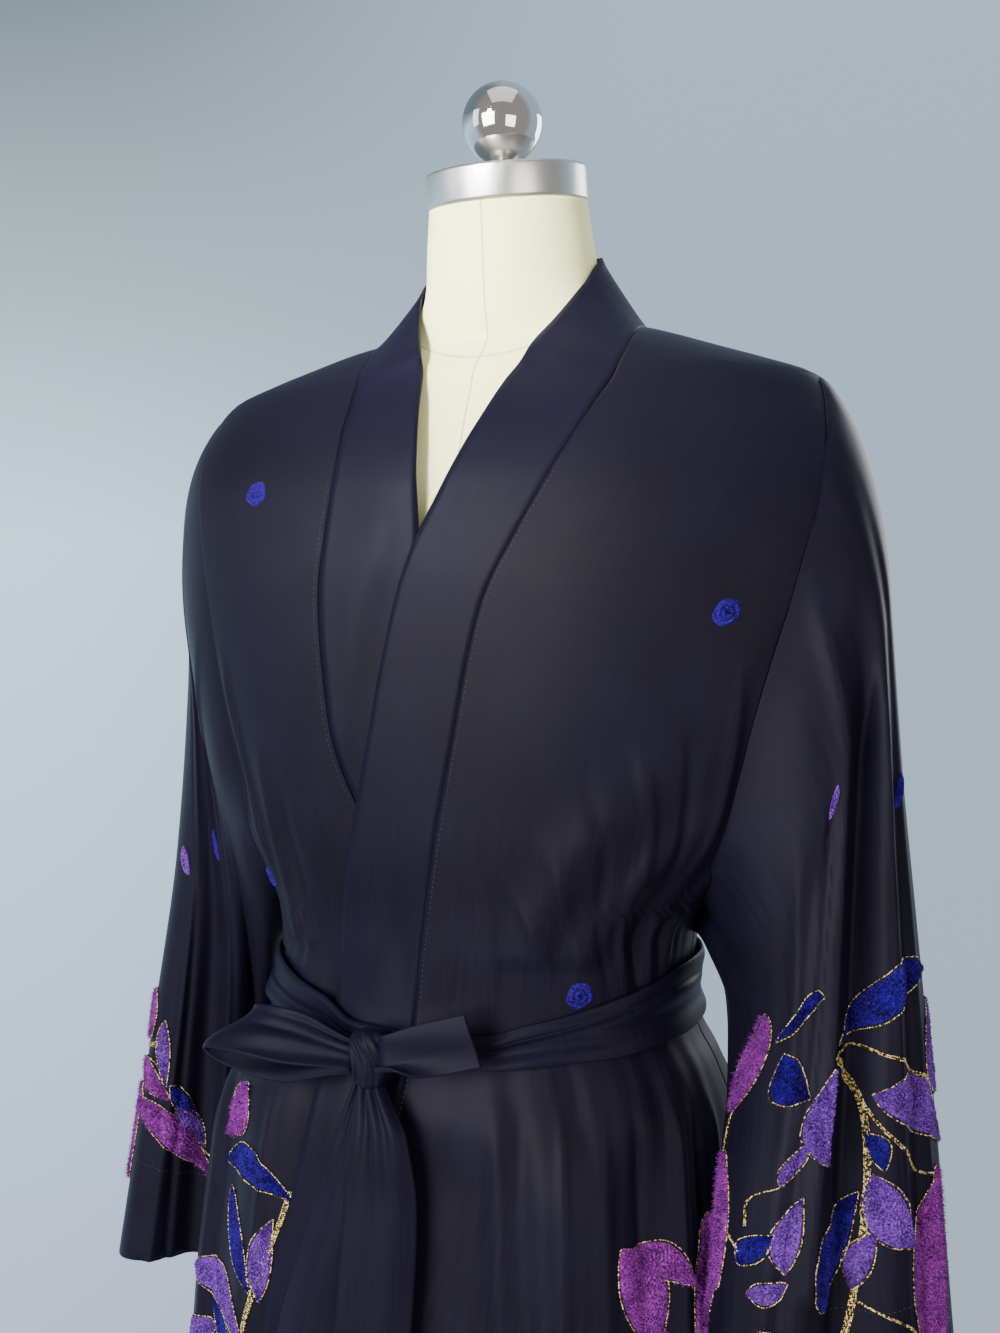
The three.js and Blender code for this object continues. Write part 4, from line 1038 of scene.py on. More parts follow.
# %% Motif tables
MOTIF_NAMES = "a0 b0 a1 b1 half bend colour"
BLUE, LILAC, VIOLET = 0, 1, 2
MOTIFS = {
    "sleeve_left": table(
        MOTIF_NAMES,
        (260, 214, 246, 342, 14, 4, VIOLET), (228, 266, 178, 277, 9, 6, BLUE),
        (212, 290, 172, 364, 11, -7, BLUE), (147, 340, 32, 368, 14, 9, BLUE),
        (30, 446, 26, 388, 11, 5, LILAC), (156, 350, 152, 434, 12, -8, LILAC),
        (104, 406, 30, 476, 14, 8, LILAC), (109, 433, 98, 462, 6, 3, BLUE),
        (184, 436, 164, 404, 7, 3, LILAC), (152, 548, 114, 474, 16, 8, BLUE),
        (106, 462, 76, 520, 13, -7, LILAC), (210, 508, 186, 480, 9, 3, BLUE),
        (180, 514, 168, 452, 9, 5, LILAC), (122, 540, 104, 500, 8, 4, LILAC),
        (204, 530, 178, 520, 8, -3, LILAC), (44, 482, 60, 604, 18, -8, VIOLET),
        (236, 398, 234, 560, 9, 5, VIOLET), (192, 556, 172, 606, 13, 5, VIOLET),
        (246, 470, 256, 584, 12, -5, VIOLET), (2, 420, -34, 362, 12, 8, BLUE),
        (-6, 474, -56, 420, 13, 8, LILAC), (-14, 566, -62, 492, 14, 8, BLUE),
        (136, 590, 92, 600, 10, -5, LILAC), (0, 520, -12, 470, 8, 4, VIOLET),
    ),
    "sleeve_right": table(
        MOTIF_NAMES,
        (2, 436, 10, 472, 10, 3, VIOLET), (26, 450, 34, 500, 6, 3, LILAC),
        (2, 488, 40, 504, 8, 5, VIOLET), (38, 494, 64, 506, 8, 3, BLUE),
        (44, 510, 74, 536, 9, -4, LILAC), (2, 520, 84, 562, 12, -9, VIOLET),
        (-2, 508, -4, 584, 10, 4, VIOLET), (98, 470, 128, 532, 11, 6, BLUE),
        (118, 452, 152, 500, 10, -5, LILAC), (-24, 440, -48, 500, 11, 5, BLUE),
        (-40, 520, -78, 560, 11, -5, LILAC), (124, 556, 168, 560, 10, 5, VIOLET),
    ),
    "front_right": table(
        MOTIF_NAMES,
        (188, 576, 226, 616, 11, 4, VIOLET), (230, 634, 148, 644, 10, 12, BLUE),
        (222, 648, 193, 708, 11, -5, BLUE), (282, 716, 202, 748, 13, 15, LILAC),
        (188, 712, 168, 656, 8, 5, LILAC), (252, 728, 216, 790, 10, 7, BLUE),
        (304, 796, 244, 744, 12, 9, LILAC), (174, 764, 206, 838, 13, -6, BLUE),
        (150, 820, 204, 886, 13, 8, LILAC), (262, 840, 216, 900, 12, -6, VIOLET),
        (296, 876, 226, 950, 14, 10, BLUE), (160, 900, 206, 968, 12, 6, VIOLET),
    ),
    "front_left": table(
        MOTIF_NAMES,
        (164, 640, 208, 712, 13, -6, VIOLET), (168, 644, 222, 668, 9, -5, VIOLET),
        (228, 628, 232, 704, 10, -5, VIOLET), (232, 690, 276, 640, 12, -5, VIOLET),
        (236, 704, 292, 724, 13, 5, VIOLET), (224, 716, 240, 784, 13, -4, VIOLET),
        (208, 716, 166, 756, 13, 6, VIOLET), (266, 790, 300, 860, 12, 5, BLUE),
        (212, 800, 180, 872, 12, -6, LILAC), (250, 850, 262, 930, 13, 5, LILAC),
        (222, 880, 196, 950, 12, 6, BLUE),
    ),
}
STEMS = {
    "sleeve_left": [
        [(155, 342), (128, 378), (110, 418), (110, 478), (122, 546), (134, 588)],
        [(155, 342), (124, 360), (93, 384), (30, 446)],
        [(110, 411), (94, 438), (68, 474), (40, 490)],
        [(122, 546), (96, 560), (60, 590)], [(246, 342), (240, 398), (228, 466), (208, 500)],
        [(182, 436), (204, 446), (206, 474)], [(30, 446), (12, 440), (-10, 490), (-20, 566)],
    ],
    "sleeve_right": [
        [(2, 480), (19, 473), (27, 462)], [(1, 490), (18, 486), (30, 490)],
        [(4, 512), (22, 524), (36, 534)], [(74, 540), (98, 552), (124, 556)],
        [(128, 532), (124, 556)], [(-6, 470), (-30, 520), (-40, 560)],
    ],
    "front_right": [
        [
            (152, 636), (160, 652), (178, 682), (194, 712), (208, 748), (216, 806), (222, 880),
            (226, 960),
        ],
        [(208, 748), (230, 730)], [(216, 806), (250, 838)], [(222, 880), (262, 842)],
    ],
    "front_left": [
        [(208, 712), (228, 790), (238, 850), (232, 900), (236, 970)], [(238, 850), (266, 792)],
        [(232, 820), (212, 800)], [(232, 900), (222, 880)],
    ],
}
DOTS = table(
    "piece a b colour",
    (0, 147, 255, BLUE), (0, 103, 491, BLUE), (1, 60, 158, BLUE), (1, 146, 430, BLUE),
    (2, 198, 122, LILAC), (3, 32, 323, LILAC), (2, 60, 240, BLUE), (2, -90, 300, LILAC),
    (3, 110, 240, BLUE), (3, -80, 330, BLUE),
)
rng = np.random.default_rng(7)
print("leaves:", sum(len(rows["a0"]) for rows in MOTIFS.values()), "dots:", len(DOTS["a"]))

# %% [markdown]
# ### Heap of small shapes
# Thousands of leaves, tufts and threads would be slow as objects of their own. A heap collects
# their points and faces, and counts each new shape's faces on from those before it.

# %% Heap
class Heap:
    """Gathers the points and faces of many small shapes for one mesh."""

    def __init__(self):
        self.points, self.faces, self.count = [], [], 0

    def add(self, points, faces):
        """One more small shape, with its faces counted on from those before it."""
        flat = points.reshape(-1, 3)
        self.points.append(flat)
        self.faces.extend((faces + self.count).tolist())
        self.count += len(flat)

    def piece(self, name, material, smooth):
        """All the shapes as one piece."""
        make_piece(name, np.concatenate(self.points), self.faces, material, smooth)
        print(name, "points", self.count, "faces", len(self.faces))


print("an empty heap holds", Heap().count, "points")

# %% [markdown]
# ### Leaf of cut pile
# Chenille is rows of cut pile. Particle hair could stand for it, but hair isn't a closed surface
# and costs far more, so a leaf is a raised, roughened grid, ridged in a herringbone. Slim tufts
# stand out of it, long and shaggy ones on the violet petals.

# %% Leaf and tufts
# For each colour: the pile's height, its tufts' length and how many stand on a square millimetre.
PILE_MM, SHAG_MM, TUFTS = (1.7, 1.7, 2.4), (1.6, 1.8, 3.8), (0.6, 0.6, 0.75)
POINT_STEP_MM, RIDGE_LONG_MM, RIDGE_WIDE_MM, RIDGE_MM, ROUGH_MM = 0.8, 3.0, 3.4, 0.45, 0.5
LEAF_SINK, LEAF_WIDTH, LEAF_SWELL = -0.35, 1.06, 0.85
TUFT_RADIUS, TUFT_SPREAD, SHAG_DROOP = 0.34, 0.75, 0.5
THIRDS_OF_A_TURN = (0, 2.094, 4.189)


def leaf_map(row, s, q):
    """Flat place of a leaf's point at a share s of its length and q of its half width: a spine
    from foot to tip that bows by bend, and a half width that follows the sine of s to the power
    LEAF_SWELL, with both ends pointed."""
    a0, b0, a1, b1, half, bend, _ = row
    run = np.array([a1 - a0, b1 - b0])
    across = np.array([-run[1], run[0]]) / np.hypot(*run)
    bow = bend * 4 * s * (1 - s)
    wide = LEAF_WIDTH * half * np.sin(np.pi * np.clip(s, 0, 1) ** LEAF_SWELL)
    return np.array([a0, b0]) + run * s[..., None] + across * (bow + q * wide)[..., None]


def oriented(points, normals):
    """Grid faces, turned so that they look along the normals."""
    faces = grid_faces(*points.shape[:2])
    flat = points.reshape(-1, 3)
    a, b, d = flat[faces[:, 0]], flat[faces[:, 1]], flat[faces[:, 3]]
    facing = (np.cross(b - a, d - a) * normals.reshape(-1, 3)[faces[:, 0]]).sum()
    return faces if facing > 0 else faces[:, ::-1]


def tufts(chart, row, kind, length, heap):
    """Cut ends of pile: slim closed tetrahedra, evenly strewn, each leaning its own way."""
    count = int(TUFTS[kind] * length * row[4] * 1.25)
    s, q = rng.uniform(0.02, 0.98, count), rng.uniform(-1.04, 1.04, count)
    place = leaf_map(row, s, q)
    depth = PILE_MM[kind] * 0.55 * np.maximum(0, 1 - q**4)
    root, normal = chart.at(place[:, 0], place[:, 1], depth)
    spread = rng.normal(0, 1, (count, 3))
    spread -= normal * (spread * normal).sum(1, keepdims=True)
    spread[:, 2] -= SHAG_DROOP * (kind == VIOLET)
    lean = unit(normal + TUFT_SPREAD * spread)
    tip = root + lean * (SHAG_MM[kind] * rng.uniform(0.6, 1.3, count))[:, None]
    side = unit(np.cross(lean, rng.normal(0, 1, (count, 3))))
    third = np.cross(lean, side)
    base = [
        root + TUFT_RADIUS * (np.cos(k) * side + np.sin(k) * third) for k in THIRDS_OF_A_TURN
    ]
    points = np.stack([*base, tip], 1)
    k = np.arange(count)[:, None] * 4
    faces = np.concatenate([k + f for f in ([0, 1, 3], [1, 2, 3], [2, 0, 3], [0, 2, 1])])
    heap.add(points, faces)


def leaf(chart, row, heap):
    """Pile over a leaf: height by 1 less q to the fourth, ridged by a herringbone wave."""
    a0, b0, a1, b1, half, _, kind = row
    kind, length = int(kind), np.hypot(a1 - a0, b1 - b0)
    s = np.linspace(0.004, 0.996, int(length / POINT_STEP_MM) + 6)[:, None]
    q = np.linspace(-1, 1, int(2 * half / POINT_STEP_MM) + 6)[None, :]
    place = leaf_map(row, s + 0 * q, q + 0 * s)
    dome = (1 - q**4) * (1 - (2 * s - 1) ** 8)
    ridge = np.sin(2 * np.pi * (s * length / RIDGE_LONG_MM + np.abs(q) * half / RIDGE_WIDE_MM))
    rough = rng.normal(0, ROUGH_MM, dome.shape)
    lift = LEAF_SINK + (PILE_MM[kind] + RIDGE_MM * ridge + rough) * dome**0.5
    points, normals = chart.at(place[..., 0], place[..., 1], lift)
    heap.add(points, oriented(points, normals))
    tufts(chart, row, kind, length, heap)


print("pile heights, mm:", PILE_MM)

# %% [markdown]
# ### Couched thread
# A metal thread lies on the cloth and is sewn down by tiny stitches that pinch it into beads. It
# runs round each leaf, and several lie side by side as stems. It is a tube whose radius swells
# and thins once for each bead, over a path that is drawn flat and laid on the piece by its map.

# %% Thread, outlines and stems
THREAD_RADIUS, THREAD_SIDES, BEAD_MM, THREAD_LIFT, THREAD_STEP = 0.58, 5, 1.6, 0.45, 0.4
THREAD_OUTSIDE = 1.1


def thread(chart, place, heap):
    """A beaded tube over a flat path: its radius swells and thins once for each bead."""
    run = lengths_along(place)
    at = np.linspace(0, run[-1], max(int(run[-1] / THREAD_STEP), 6))
    a, b = np.interp(at, run, place[:, 0]), np.interp(at, run, place[:, 1])
    wobble = 0.14 * rng.normal(0, 1, len(at))
    points, normals = chart.at(a + wobble, b, THREAD_LIFT)
    side = unit(np.cross(unit(np.gradient(points, axis=0)), normals))
    phi = full_turn(THREAD_SIDES)[0]
    size = THREAD_RADIUS * (0.15 + 0.85 * np.abs(np.sin(np.pi * at / BEAD_MM)) ** 0.8)
    size[[0, -1]] = 0.05
    ring = np.cos(phi)[:, None] * normals[:, None] + np.sin(phi)[:, None] * side[:, None]
    tube = points[:, None] + ring * size[:, None, None]
    heap.add(tube, grid_faces(len(at), THREAD_SIDES, True)[:, ::-1])


def outline(row):
    """Path round a leaf, a little outside its pile."""
    s = np.linspace(0, 1, 90)
    grown = np.array(row, float)
    grown[4] += THREAD_OUTSIDE
    return np.concatenate([leaf_map(grown, s, 1.0), leaf_map(grown, s[::-1], -1.0)])


def curve_through(places):
    """Smooth flat path through a stem's places: a Catmull-Rom spline."""
    p = np.array(places, float)
    p = np.concatenate([2 * p[:1] - p[1:2], p, 2 * p[-1:] - p[-2:-1]])
    t = np.linspace(0, 1, 24)[:, None]
    parts = [
        0.5 * (
            2 * b + (c - a) * t + (2 * a - 5 * b + 4 * c - d) * t**2
            + (3 * b - 3 * c + d - a) * t**3
        )
        for a, b, c, d in zip(p, p[1:], p[2:], p[3:])
    ]
    return np.concatenate(parts)


print("points on the first stem:", len(curve_through(STEMS["sleeve_left"][0])))

# %% [markdown]
# ### Spiral dots
# Each dot is a cord of pile wound up flat. One disc with a spiral wave in its height shows the
# same turns as a wound tube would, with far fewer faces.

# %% Dot
DOT_RADIUS, DOT_TURNS, DOT_RINGS, DOT_AROUND = 8.5, 2.6, 14, 48


def dot(chart, a0, b0, heap):
    """A spiral disc: its height waves with the radius plus the turn, over two and a half turns."""
    r = np.linspace(0.02, 1, DOT_RINGS)[:, None]
    phi = full_turn(DOT_AROUND)
    wave = 0.5 * np.cos(2 * np.pi * DOT_TURNS * r - phi)
    rough = rng.normal(0, 0.16, (DOT_RINGS, DOT_AROUND))
    lift = -0.3 + 1.6 * (1 - r**6) ** 0.6 + wave * (1 - r**4) + rough * (1 - r**4)
    grow = DOT_RADIUS * r * (1 + 0.04 * np.sin(5 * phi) + 0.03 * np.sin(3 * phi + 1))
    points, _ = chart.at(a0 + grow * np.cos(phi), b0 + grow * np.sin(phi), lift)
    faces = grid_faces(DOT_RINGS, DOT_AROUND, True)
    a, b, c = points.reshape(-1, 3)[faces[0, :3]]
    away = chart.at(np.array([a0]), np.array([b0]))[1][0]
    heap.add(points, faces if np.cross(b - a, c - a) @ away > 0 else faces[:, ::-1])


print("dot across, mm:", 2 * DOT_RADIUS)

# %% [markdown]
# ### Chenille and metal thread as materials
# Rayon pile glows at its edges and changes from loop to loop: two noises choose between a dark
# and a light tone, and a little sheen lies over it. The thread's turns catch the light or lie in
# shade, which a sharp noise between dark bronze and pale gold shows.

# %% Chenille and thread materials
def chenille(name, dark, light):
    """Cut rayon pile: a colour that changes from loop to loop, and a soft bloom at its edges."""
    material, tree, shader = new_material(
        name, Roughness=0.7, Sheen_Weight=0.15, Sheen_Roughness=0.4, Sheen_Tint=linear(light),
        Specular_IOR_Level=0.12, IOR=1.5,
    )
    place = add_node(tree, "ShaderNodeTexCoord").outputs["Object"]
    fine, broad = [
        add_node(
            tree, "ShaderNodeTexNoise", None, {"Vector": place, "Scale": scale, "Detail": detail}
        ).outputs["Fac"]
        for scale, detail in ((900.0, 3.0), (90.0, 2.0))
    ]
    both = add_node(
        tree, "ShaderNodeMath", {"operation": "MULTIPLY_ADD"}, {0: broad, 1: 0.4, 2: fine}
    ).outputs[0]
    colour = add_node(
        tree, "ShaderNodeValToRGB", None, {"Fac": both},
        [(0.55, linear(dark)), (0.8, linear(light))],
    ).outputs["Color"]
    bump = add_node(
        tree, "ShaderNodeBump", None, {"Height": fine, "Strength": 0.6, "Distance": 0.0005}
    )
    tree.links.new(colour, shader.inputs["Base Color"])
    tree.links.new(bump.outputs[0], shader.inputs["Normal"])
    return material


def metal_thread():
    """Gilt thread, whose turns catch the light or lie in shade: a sharp two-colour noise."""
    material, tree, shader = new_material("couched_gold_thread", Metallic=0.7, Roughness=0.32)
    place = add_node(tree, "ShaderNodeTexCoord").outputs["Object"]
    glint = add_node(
        tree, "ShaderNodeTexNoise", None, {"Vector": place, "Scale": 700.0, "Detail": 1.0}
    ).outputs["Fac"]
    colour = add_node(
        tree, "ShaderNodeValToRGB", None, {"Fac": glint},
        [(0.45, linear("#2c220b")), (0.6, linear("#ead488"))],
    ).outputs["Color"]
    tree.links.new(colour, shader.inputs["Base Color"])
    return material


CHENILLE = [
    chenille("royal_blue_rayon_chenille", "#0a0024", "#26067c"),
    chenille("lilac_rayon_chenille", "#2a124e", "#7442a6"),
    chenille("violet_rayon_chenille", "#3a0f4c", "#8c3496"),
]
gold = metal_thread()
print("embroidery materials:", [m.name for m in (*CHENILLE, gold)])

# %% [markdown]
# ### Laying it on
# Each motif goes onto its own piece, and into the heap of its colour. The order of the draws
# from the random generator is the order of the tables.

# %% Lay the embroidery on the pieces
names = list(CHARTS)
GOLD = 3
heaps = {key: [Heap() for _ in range(4)] for key in ("sleeve_left", "sleeve_right", "front")}
for name, rows in MOTIFS.items():
    group = heaps.get(name, heaps["front"])
    for row in zip(*[rows[key] for key in MOTIF_NAMES.split()]):
        leaf(CHARTS[name], row, group[int(row[-1])])
        thread(CHARTS[name], outline(row), group[GOLD])
    for k, places in enumerate(STEMS[name]):
        path = curve_through(places)
        for aside in (-2.0, -1.0, 0.0, 1.0, 2.0) if k == 0 else (-0.6, 0.6):
            thread(CHARTS[name], path + [aside, 0.2 * aside], group[GOLD])
for k, a, b, colour in zip(*[DOTS[key] for key in ("piece", "a", "b", "colour")]):
    name = names[int(k)]
    dot(CHARTS[name], a, b, heaps.get(name, heaps["front"])[int(colour)])
COLOUR_NAMES = ("blue_chenille", "lilac_chenille", "violet_chenille", "gold_thread")
for key, group in heaps.items():
    for heap, label, material in zip(group, COLOUR_NAMES, [*CHENILLE, gold]):
        if heap.points:
            heap.piece(f"{label}_{key}", material, smooth=material == gold)

# %% [markdown]
# ## Topstitching
# A line of small stitches holds each band, hem and cuff. A stitch is a slim eight-faced bead; the
# maps of the pieces place it, with its length along the seam.

# %% Stitches
STITCH_MM, STITCH_PITCH, STITCH_RADIUS = 1.9, 3.4, 0.24
BAND_SEAM_MM, HEM_MM, CUFF_MM = 3.0, 22.0, 75.0


def stitch_line(chart, path, heap):
    """Beads along a flat path: two ends and four sides each, half sunk in the cloth."""
    run = lengths_along(path)
    mids = np.arange(STITCH_PITCH, run[-1] - STITCH_PITCH, STITCH_PITCH)
    ends = [
        chart.at(*[np.interp(mids + k * STITCH_MM / 2, run, path[:, j]) for j in (0, 1)], 0.15)
        for k in (-1, 0, 1)
    ]
    (first, _), (middle, normal), (last, _) = ends
    side = unit(np.cross(last - first, normal))
    ring = [middle + STITCH_RADIUS * d for d in (normal, side, -normal, -side)]
    points = np.stack([first, *ring, last], 1)
    k = np.arange(len(mids))[:, None] * 6
    caps = [[0, 2, 1], [0, 3, 2], [0, 4, 3], [0, 1, 4], [5, 1, 2], [5, 2, 3], [5, 3, 4], [5, 4, 1]]
    heap.add(points, np.concatenate([k + f for f in caps]))


stitches = Heap()
for name, chart in CHARTS.items():
    low, high = chart.low, chart.low + chart.points.shape[1]
    if name.startswith("front"):
        down = np.linspace(150, chart.b[-1], 90)
        aside = BAND_SEAM_MM if high > -low else -BAND_SEAM_MM
        stitch_line(chart, np.stack([0 * down + aside, down], -1), stitches)
        across = np.linspace(aside, 260 * np.sign(aside), 60)
        stitch_line(chart, np.stack([across, 0 * across + chart.b[-1] - HEM_MM], -1), stitches)
    else:
        across = np.linspace(-150, 150, 90)
        stitch_line(chart, np.stack([across, 0 * across + chart.b[-1] - CUFF_MM], -1), stitches)
stitch_thread, _, _ = new_material(
    "navy_sewing_thread", Base_Color=linear("#34343f"), Roughness=0.6
)
stitches.piece("topstitching", stitch_thread, smooth=False)

# %% [markdown]
# ## Dress form
# The form is a hard shell in cream linen jersey with a sewn centre line and a seam round the
# base of the neck. Above it sit a brushed steel cap and a chromed ball, and below a pole on a
# heavy base. The form could be sculpted; rings between the rows of a table keep it to its sizes.

# %% Form and its cover
NECK_LEAN = np.radians(12)
CAP_CENTRE_Z, CAP_RADIUS, CAP_HEIGHT, BALL_RADIUS = 1500.0, 54.0, 23.0, 27.0
BALL_FOOT_RADIUS, BALL_FOOT_HEIGHT = 9.0, 3.5
NECK_SEAM_Z, NECK_SEAM_RISE = 1.388, 5.6


def on_cap(points):
    """Turns points about the level x axis by the neck's lean and sets them on the cap's centre."""
    c, s = np.cos(NECK_LEAN), np.sin(NECK_LEAN)
    x, y, z = np.moveaxis(points, -1, 0)
    return np.stack([x, c * y - s * z, s * y + c * z + CAP_CENTRE_Z], -1)


def linen_cover():
    """Cream linen jersey: a fine bump, and sewn lines where the cover's parts join. One line is
    the middle plane; the other rises from NECK_SEAM_Z by the square of x. Both in metres."""
    material, tree, shader = new_material(
        "cream_linen_jersey", Roughness=0.92, Sheen_Weight=0.2, Sheen_Roughness=0.5, IOR=1.45,
        Specular_IOR_Level=0.25,
    )
    place = add_node(tree, "ShaderNodeTexCoord").outputs["Object"]
    axes = add_node(tree, "ShaderNodeSeparateXYZ", None, {"Vector": place}).outputs
    line = add_node(tree, "ShaderNodeMath", {"operation": "ABSOLUTE"}, {0: axes["X"]}).outputs[0]
    square = add_node(
        tree, "ShaderNodeMath", {"operation": "MULTIPLY"}, {0: axes["X"], 1: axes["X"]}
    ).outputs[0]
    ring_z = add_node(
        tree, "ShaderNodeMath", {"operation": "MULTIPLY_ADD"},
        {0: square, 1: NECK_SEAM_RISE, 2: NECK_SEAM_Z},
    ).outputs[0]
    off = add_node(
        tree, "ShaderNodeMath", {"operation": "SUBTRACT"}, {0: axes["Z"], 1: ring_z}
    ).outputs[0]
    ring = add_node(tree, "ShaderNodeMath", {"operation": "ABSOLUTE"}, {0: off}).outputs[0]
    near = add_node(tree, "ShaderNodeMath", {"operation": "MINIMUM"}, {0: line, 1: ring}).outputs[0]
    seam = add_node(
        tree, "ShaderNodeMapRange", None, {"Value": near, "From Min": 0.0001, "From Max": 0.0009}
    ).outputs[0]
    cloud = add_node(
        tree, "ShaderNodeTexNoise", None, {"Vector": place, "Scale": 900.0, "Detail": 2.0}
    ).outputs["Fac"]
    base = add_node(
        tree, "ShaderNodeValToRGB", None, {"Fac": cloud},
        [(0.3, linear("#f1f3ae")), (0.7, linear("#fafab8"))],
    ).outputs["Color"]
    colour = add_node(
        tree, "ShaderNodeMix", {"data_type": "RGBA"},
        {"Factor": seam, 6: linear("#bdb995"), 7: base},
    ).outputs[2]
    height = add_node(
        tree, "ShaderNodeMath", {"operation": "MULTIPLY_ADD"}, {0: cloud, 1: 0.15, 2: seam}
    ).outputs[0]
    bump = add_node(
        tree, "ShaderNodeBump", None, {"Height": height, "Strength": 0.5, "Distance": 0.0004}
    )
    tree.links.new(colour, shader.inputs["Base Color"])
    tree.links.new(bump.outputs[0], shader.inputs["Normal"])
    return material


def form_points():
    """Rings between the table's rows, each a rounded box of its own squareness, up to the cap."""
    z = np.concatenate([np.linspace(812, 1370, 90), np.linspace(1372, 1470, 60)])[:, None]
    turn = full_turn(128)
    value = columns(FORM, "z", "half front back ridge square", z)
    ridge = value["ridge"]
    bend = lambda v: np.sign(v) * np.abs(v) ** (2 / value["square"])  # noqa: E731
    depth = np.where(np.sin(turn) > 0, value["back"] - ridge, value["front"] + ridge)
    x = value["half"] * bend(np.cos(turn))
    body = np.stack([x, ridge + depth * bend(np.sin(turn)), z + 0 * turn], -1)
    seat = CAP_RADIUS - 0.5
    top = on_cap(np.stack([seat * np.cos(turn), seat * np.sin(turn), -0.3 + 0 * turn], -1))[0]
    share = np.linspace(0, 1, 12)[1:, None, None]
    neck = mix(body[-1][None], top[None], share)
    floor = body[0][None] * np.array([0.001, 0.001, 1.0])
    lid = mix(neck[-1:].mean(1, keepdims=True), neck[-1:], 0.001)
    return np.concatenate([floor, body, neck, lid])


print("form, mm high:", FORM["z"][-1] - FORM["z"][0])

# %% [markdown]
# ### Turned metal parts
# Cap, ball, pole and base are turned on a lathe, so each is a profile swept round an axis, with
# its corners rounded. The cap leans forward with the neck, and the ball sits on it.

# %% Cap, ball, pole and base
def lathe(profile, steps=96):
    """A profile of (radius, height) pairs turned about the upright axis."""
    r, z = np.array(profile, float).T[..., None]
    turn = full_turn(steps)
    return np.stack([r * np.cos(turn), r * np.sin(turn), z + 0 * turn], -1)


def rounded(profile, radius, steps=5):
    """Corners of a profile rounded by arcs: each corner becomes a quadratic curve."""
    pts = [np.array(p, float) for p in profile]
    out = [pts[0]]
    for a, b, c in zip(pts, pts[1:], pts[2:]):
        cut = min(radius, 0.45 * np.linalg.norm(b - a), 0.45 * np.linalg.norm(c - b))
        start = b + (a - b) / np.linalg.norm(a - b) * cut
        end = b + (c - b) / np.linalg.norm(c - b) * cut
        for t in np.linspace(0, 1, steps):
            out.append((1 - t) ** 2 * start + 2 * t * (1 - t) * b + t * t * end)
    return [*out, pts[-1]]


def metal(name, colour, roughness, grain_scale, strength, metallic=1.0):
    """Metal with a fine grain: noise stretched along the polishing direction bends the normal.
    Under paint it is no longer metallic."""
    material, tree, shader = new_material(
        name, Base_Color=linear(colour), Metallic=metallic, Roughness=roughness
    )
    place = add_node(tree, "ShaderNodeTexCoord").outputs["Object"]
    stretch = add_node(
        tree, "ShaderNodeMapping", None, {"Vector": place, "Scale": grain_scale}
    ).outputs["Vector"]
    grain = add_node(
        tree, "ShaderNodeTexNoise", None, {"Vector": stretch, "Scale": 1.0, "Detail": 3.0}
    ).outputs["Fac"]
    rough = add_node(
        tree, "ShaderNodeMapRange", None,
        {"Value": grain, "To Min": roughness * 0.8, "To Max": roughness * 1.3},
    ).outputs[0]
    bump = add_node(
        tree, "ShaderNodeBump", None, {"Height": grain, "Strength": strength, "Distance": 0.0002}
    )
    tree.links.new(rough, shader.inputs["Roughness"])
    tree.links.new(bump.outputs[0], shader.inputs["Normal"])
    return material


linen = linen_cover()
brushed = metal("brushed_stainless_steel", "#c9cac6", 0.3, (40, 40, 2500), 0.25)
chromed = metal("polished_chrome_steel", "#d6d4d0", 0.06, (60, 60, 60), 0.02)
iron = metal("painted_cast_iron", "#2b2b2d", 0.5, (500, 500, 500), 0.3, metallic=0.0)

cap_profile = rounded([(0, 0), (CAP_RADIUS, 0), (CAP_RADIUS, CAP_HEIGHT), (0, CAP_HEIGHT)], 2.6)
ball_middle = BALL_FOOT_HEIGHT + 1 + np.sqrt(BALL_RADIUS**2 - BALL_FOOT_RADIUS**2)
ball_arc = np.linspace(np.arcsin(BALL_FOOT_RADIUS / BALL_RADIUS), np.pi, 56)
ball_profile = [(0, 0), (BALL_FOOT_RADIUS, 0), (BALL_FOOT_RADIUS, BALL_FOOT_HEIGHT)] + [
    (BALL_RADIUS * np.sin(a), ball_middle - BALL_RADIUS * np.cos(a)) for a in ball_arc
]
ball_seat = np.array([0, 0, CAP_HEIGHT + 0.3])
pole_profile = rounded(
    [(0, 22.3), (30.4, 22.3), (30.4, 40), (16, 82), (16, 811.7), (0, 811.7)], 2.0
)
base_profile = rounded([(0, 0), (165, 0), (165, 8.8), (155, 16.5), (38.4, 22), (0, 22)], 4.0)
for name, node, grid, material, slot in (
    ("form_linen_torso", "form_torso", form_points(), linen, "linen_cover"),
    ("steel_neck_cap", "neck_cap", on_cap(lathe(cap_profile, 128)), brushed, "cap_steel"),
    (
        "chromed_neck_ball", "neck_ball", on_cap(lathe(ball_profile, 112) + ball_seat), chromed,
        "ball_chrome",
    ),
    ("steel_stand_pole", "stand_pole", lathe(pole_profile), brushed, "pole_steel"),
    ("iron_stand_base", "stand_base", lathe(base_profile, 128), iron, "base_iron"),
):
    faces = grid_faces(*grid.shape[:2], True)[:, ::-1].tolist()
    stands_for(make_piece(name, grid, faces, material), node)
print("form and stand made")

# %% [markdown]
# ## Light and surroundings
# A large soft light from a window at the camera's left, a weaker one at the right and a pale
# grey-blue wall ahead. The room behind the camera is darker, as the polished ball shows. A light
# from the back shows the robe's far side, and the floor is a pale disc.

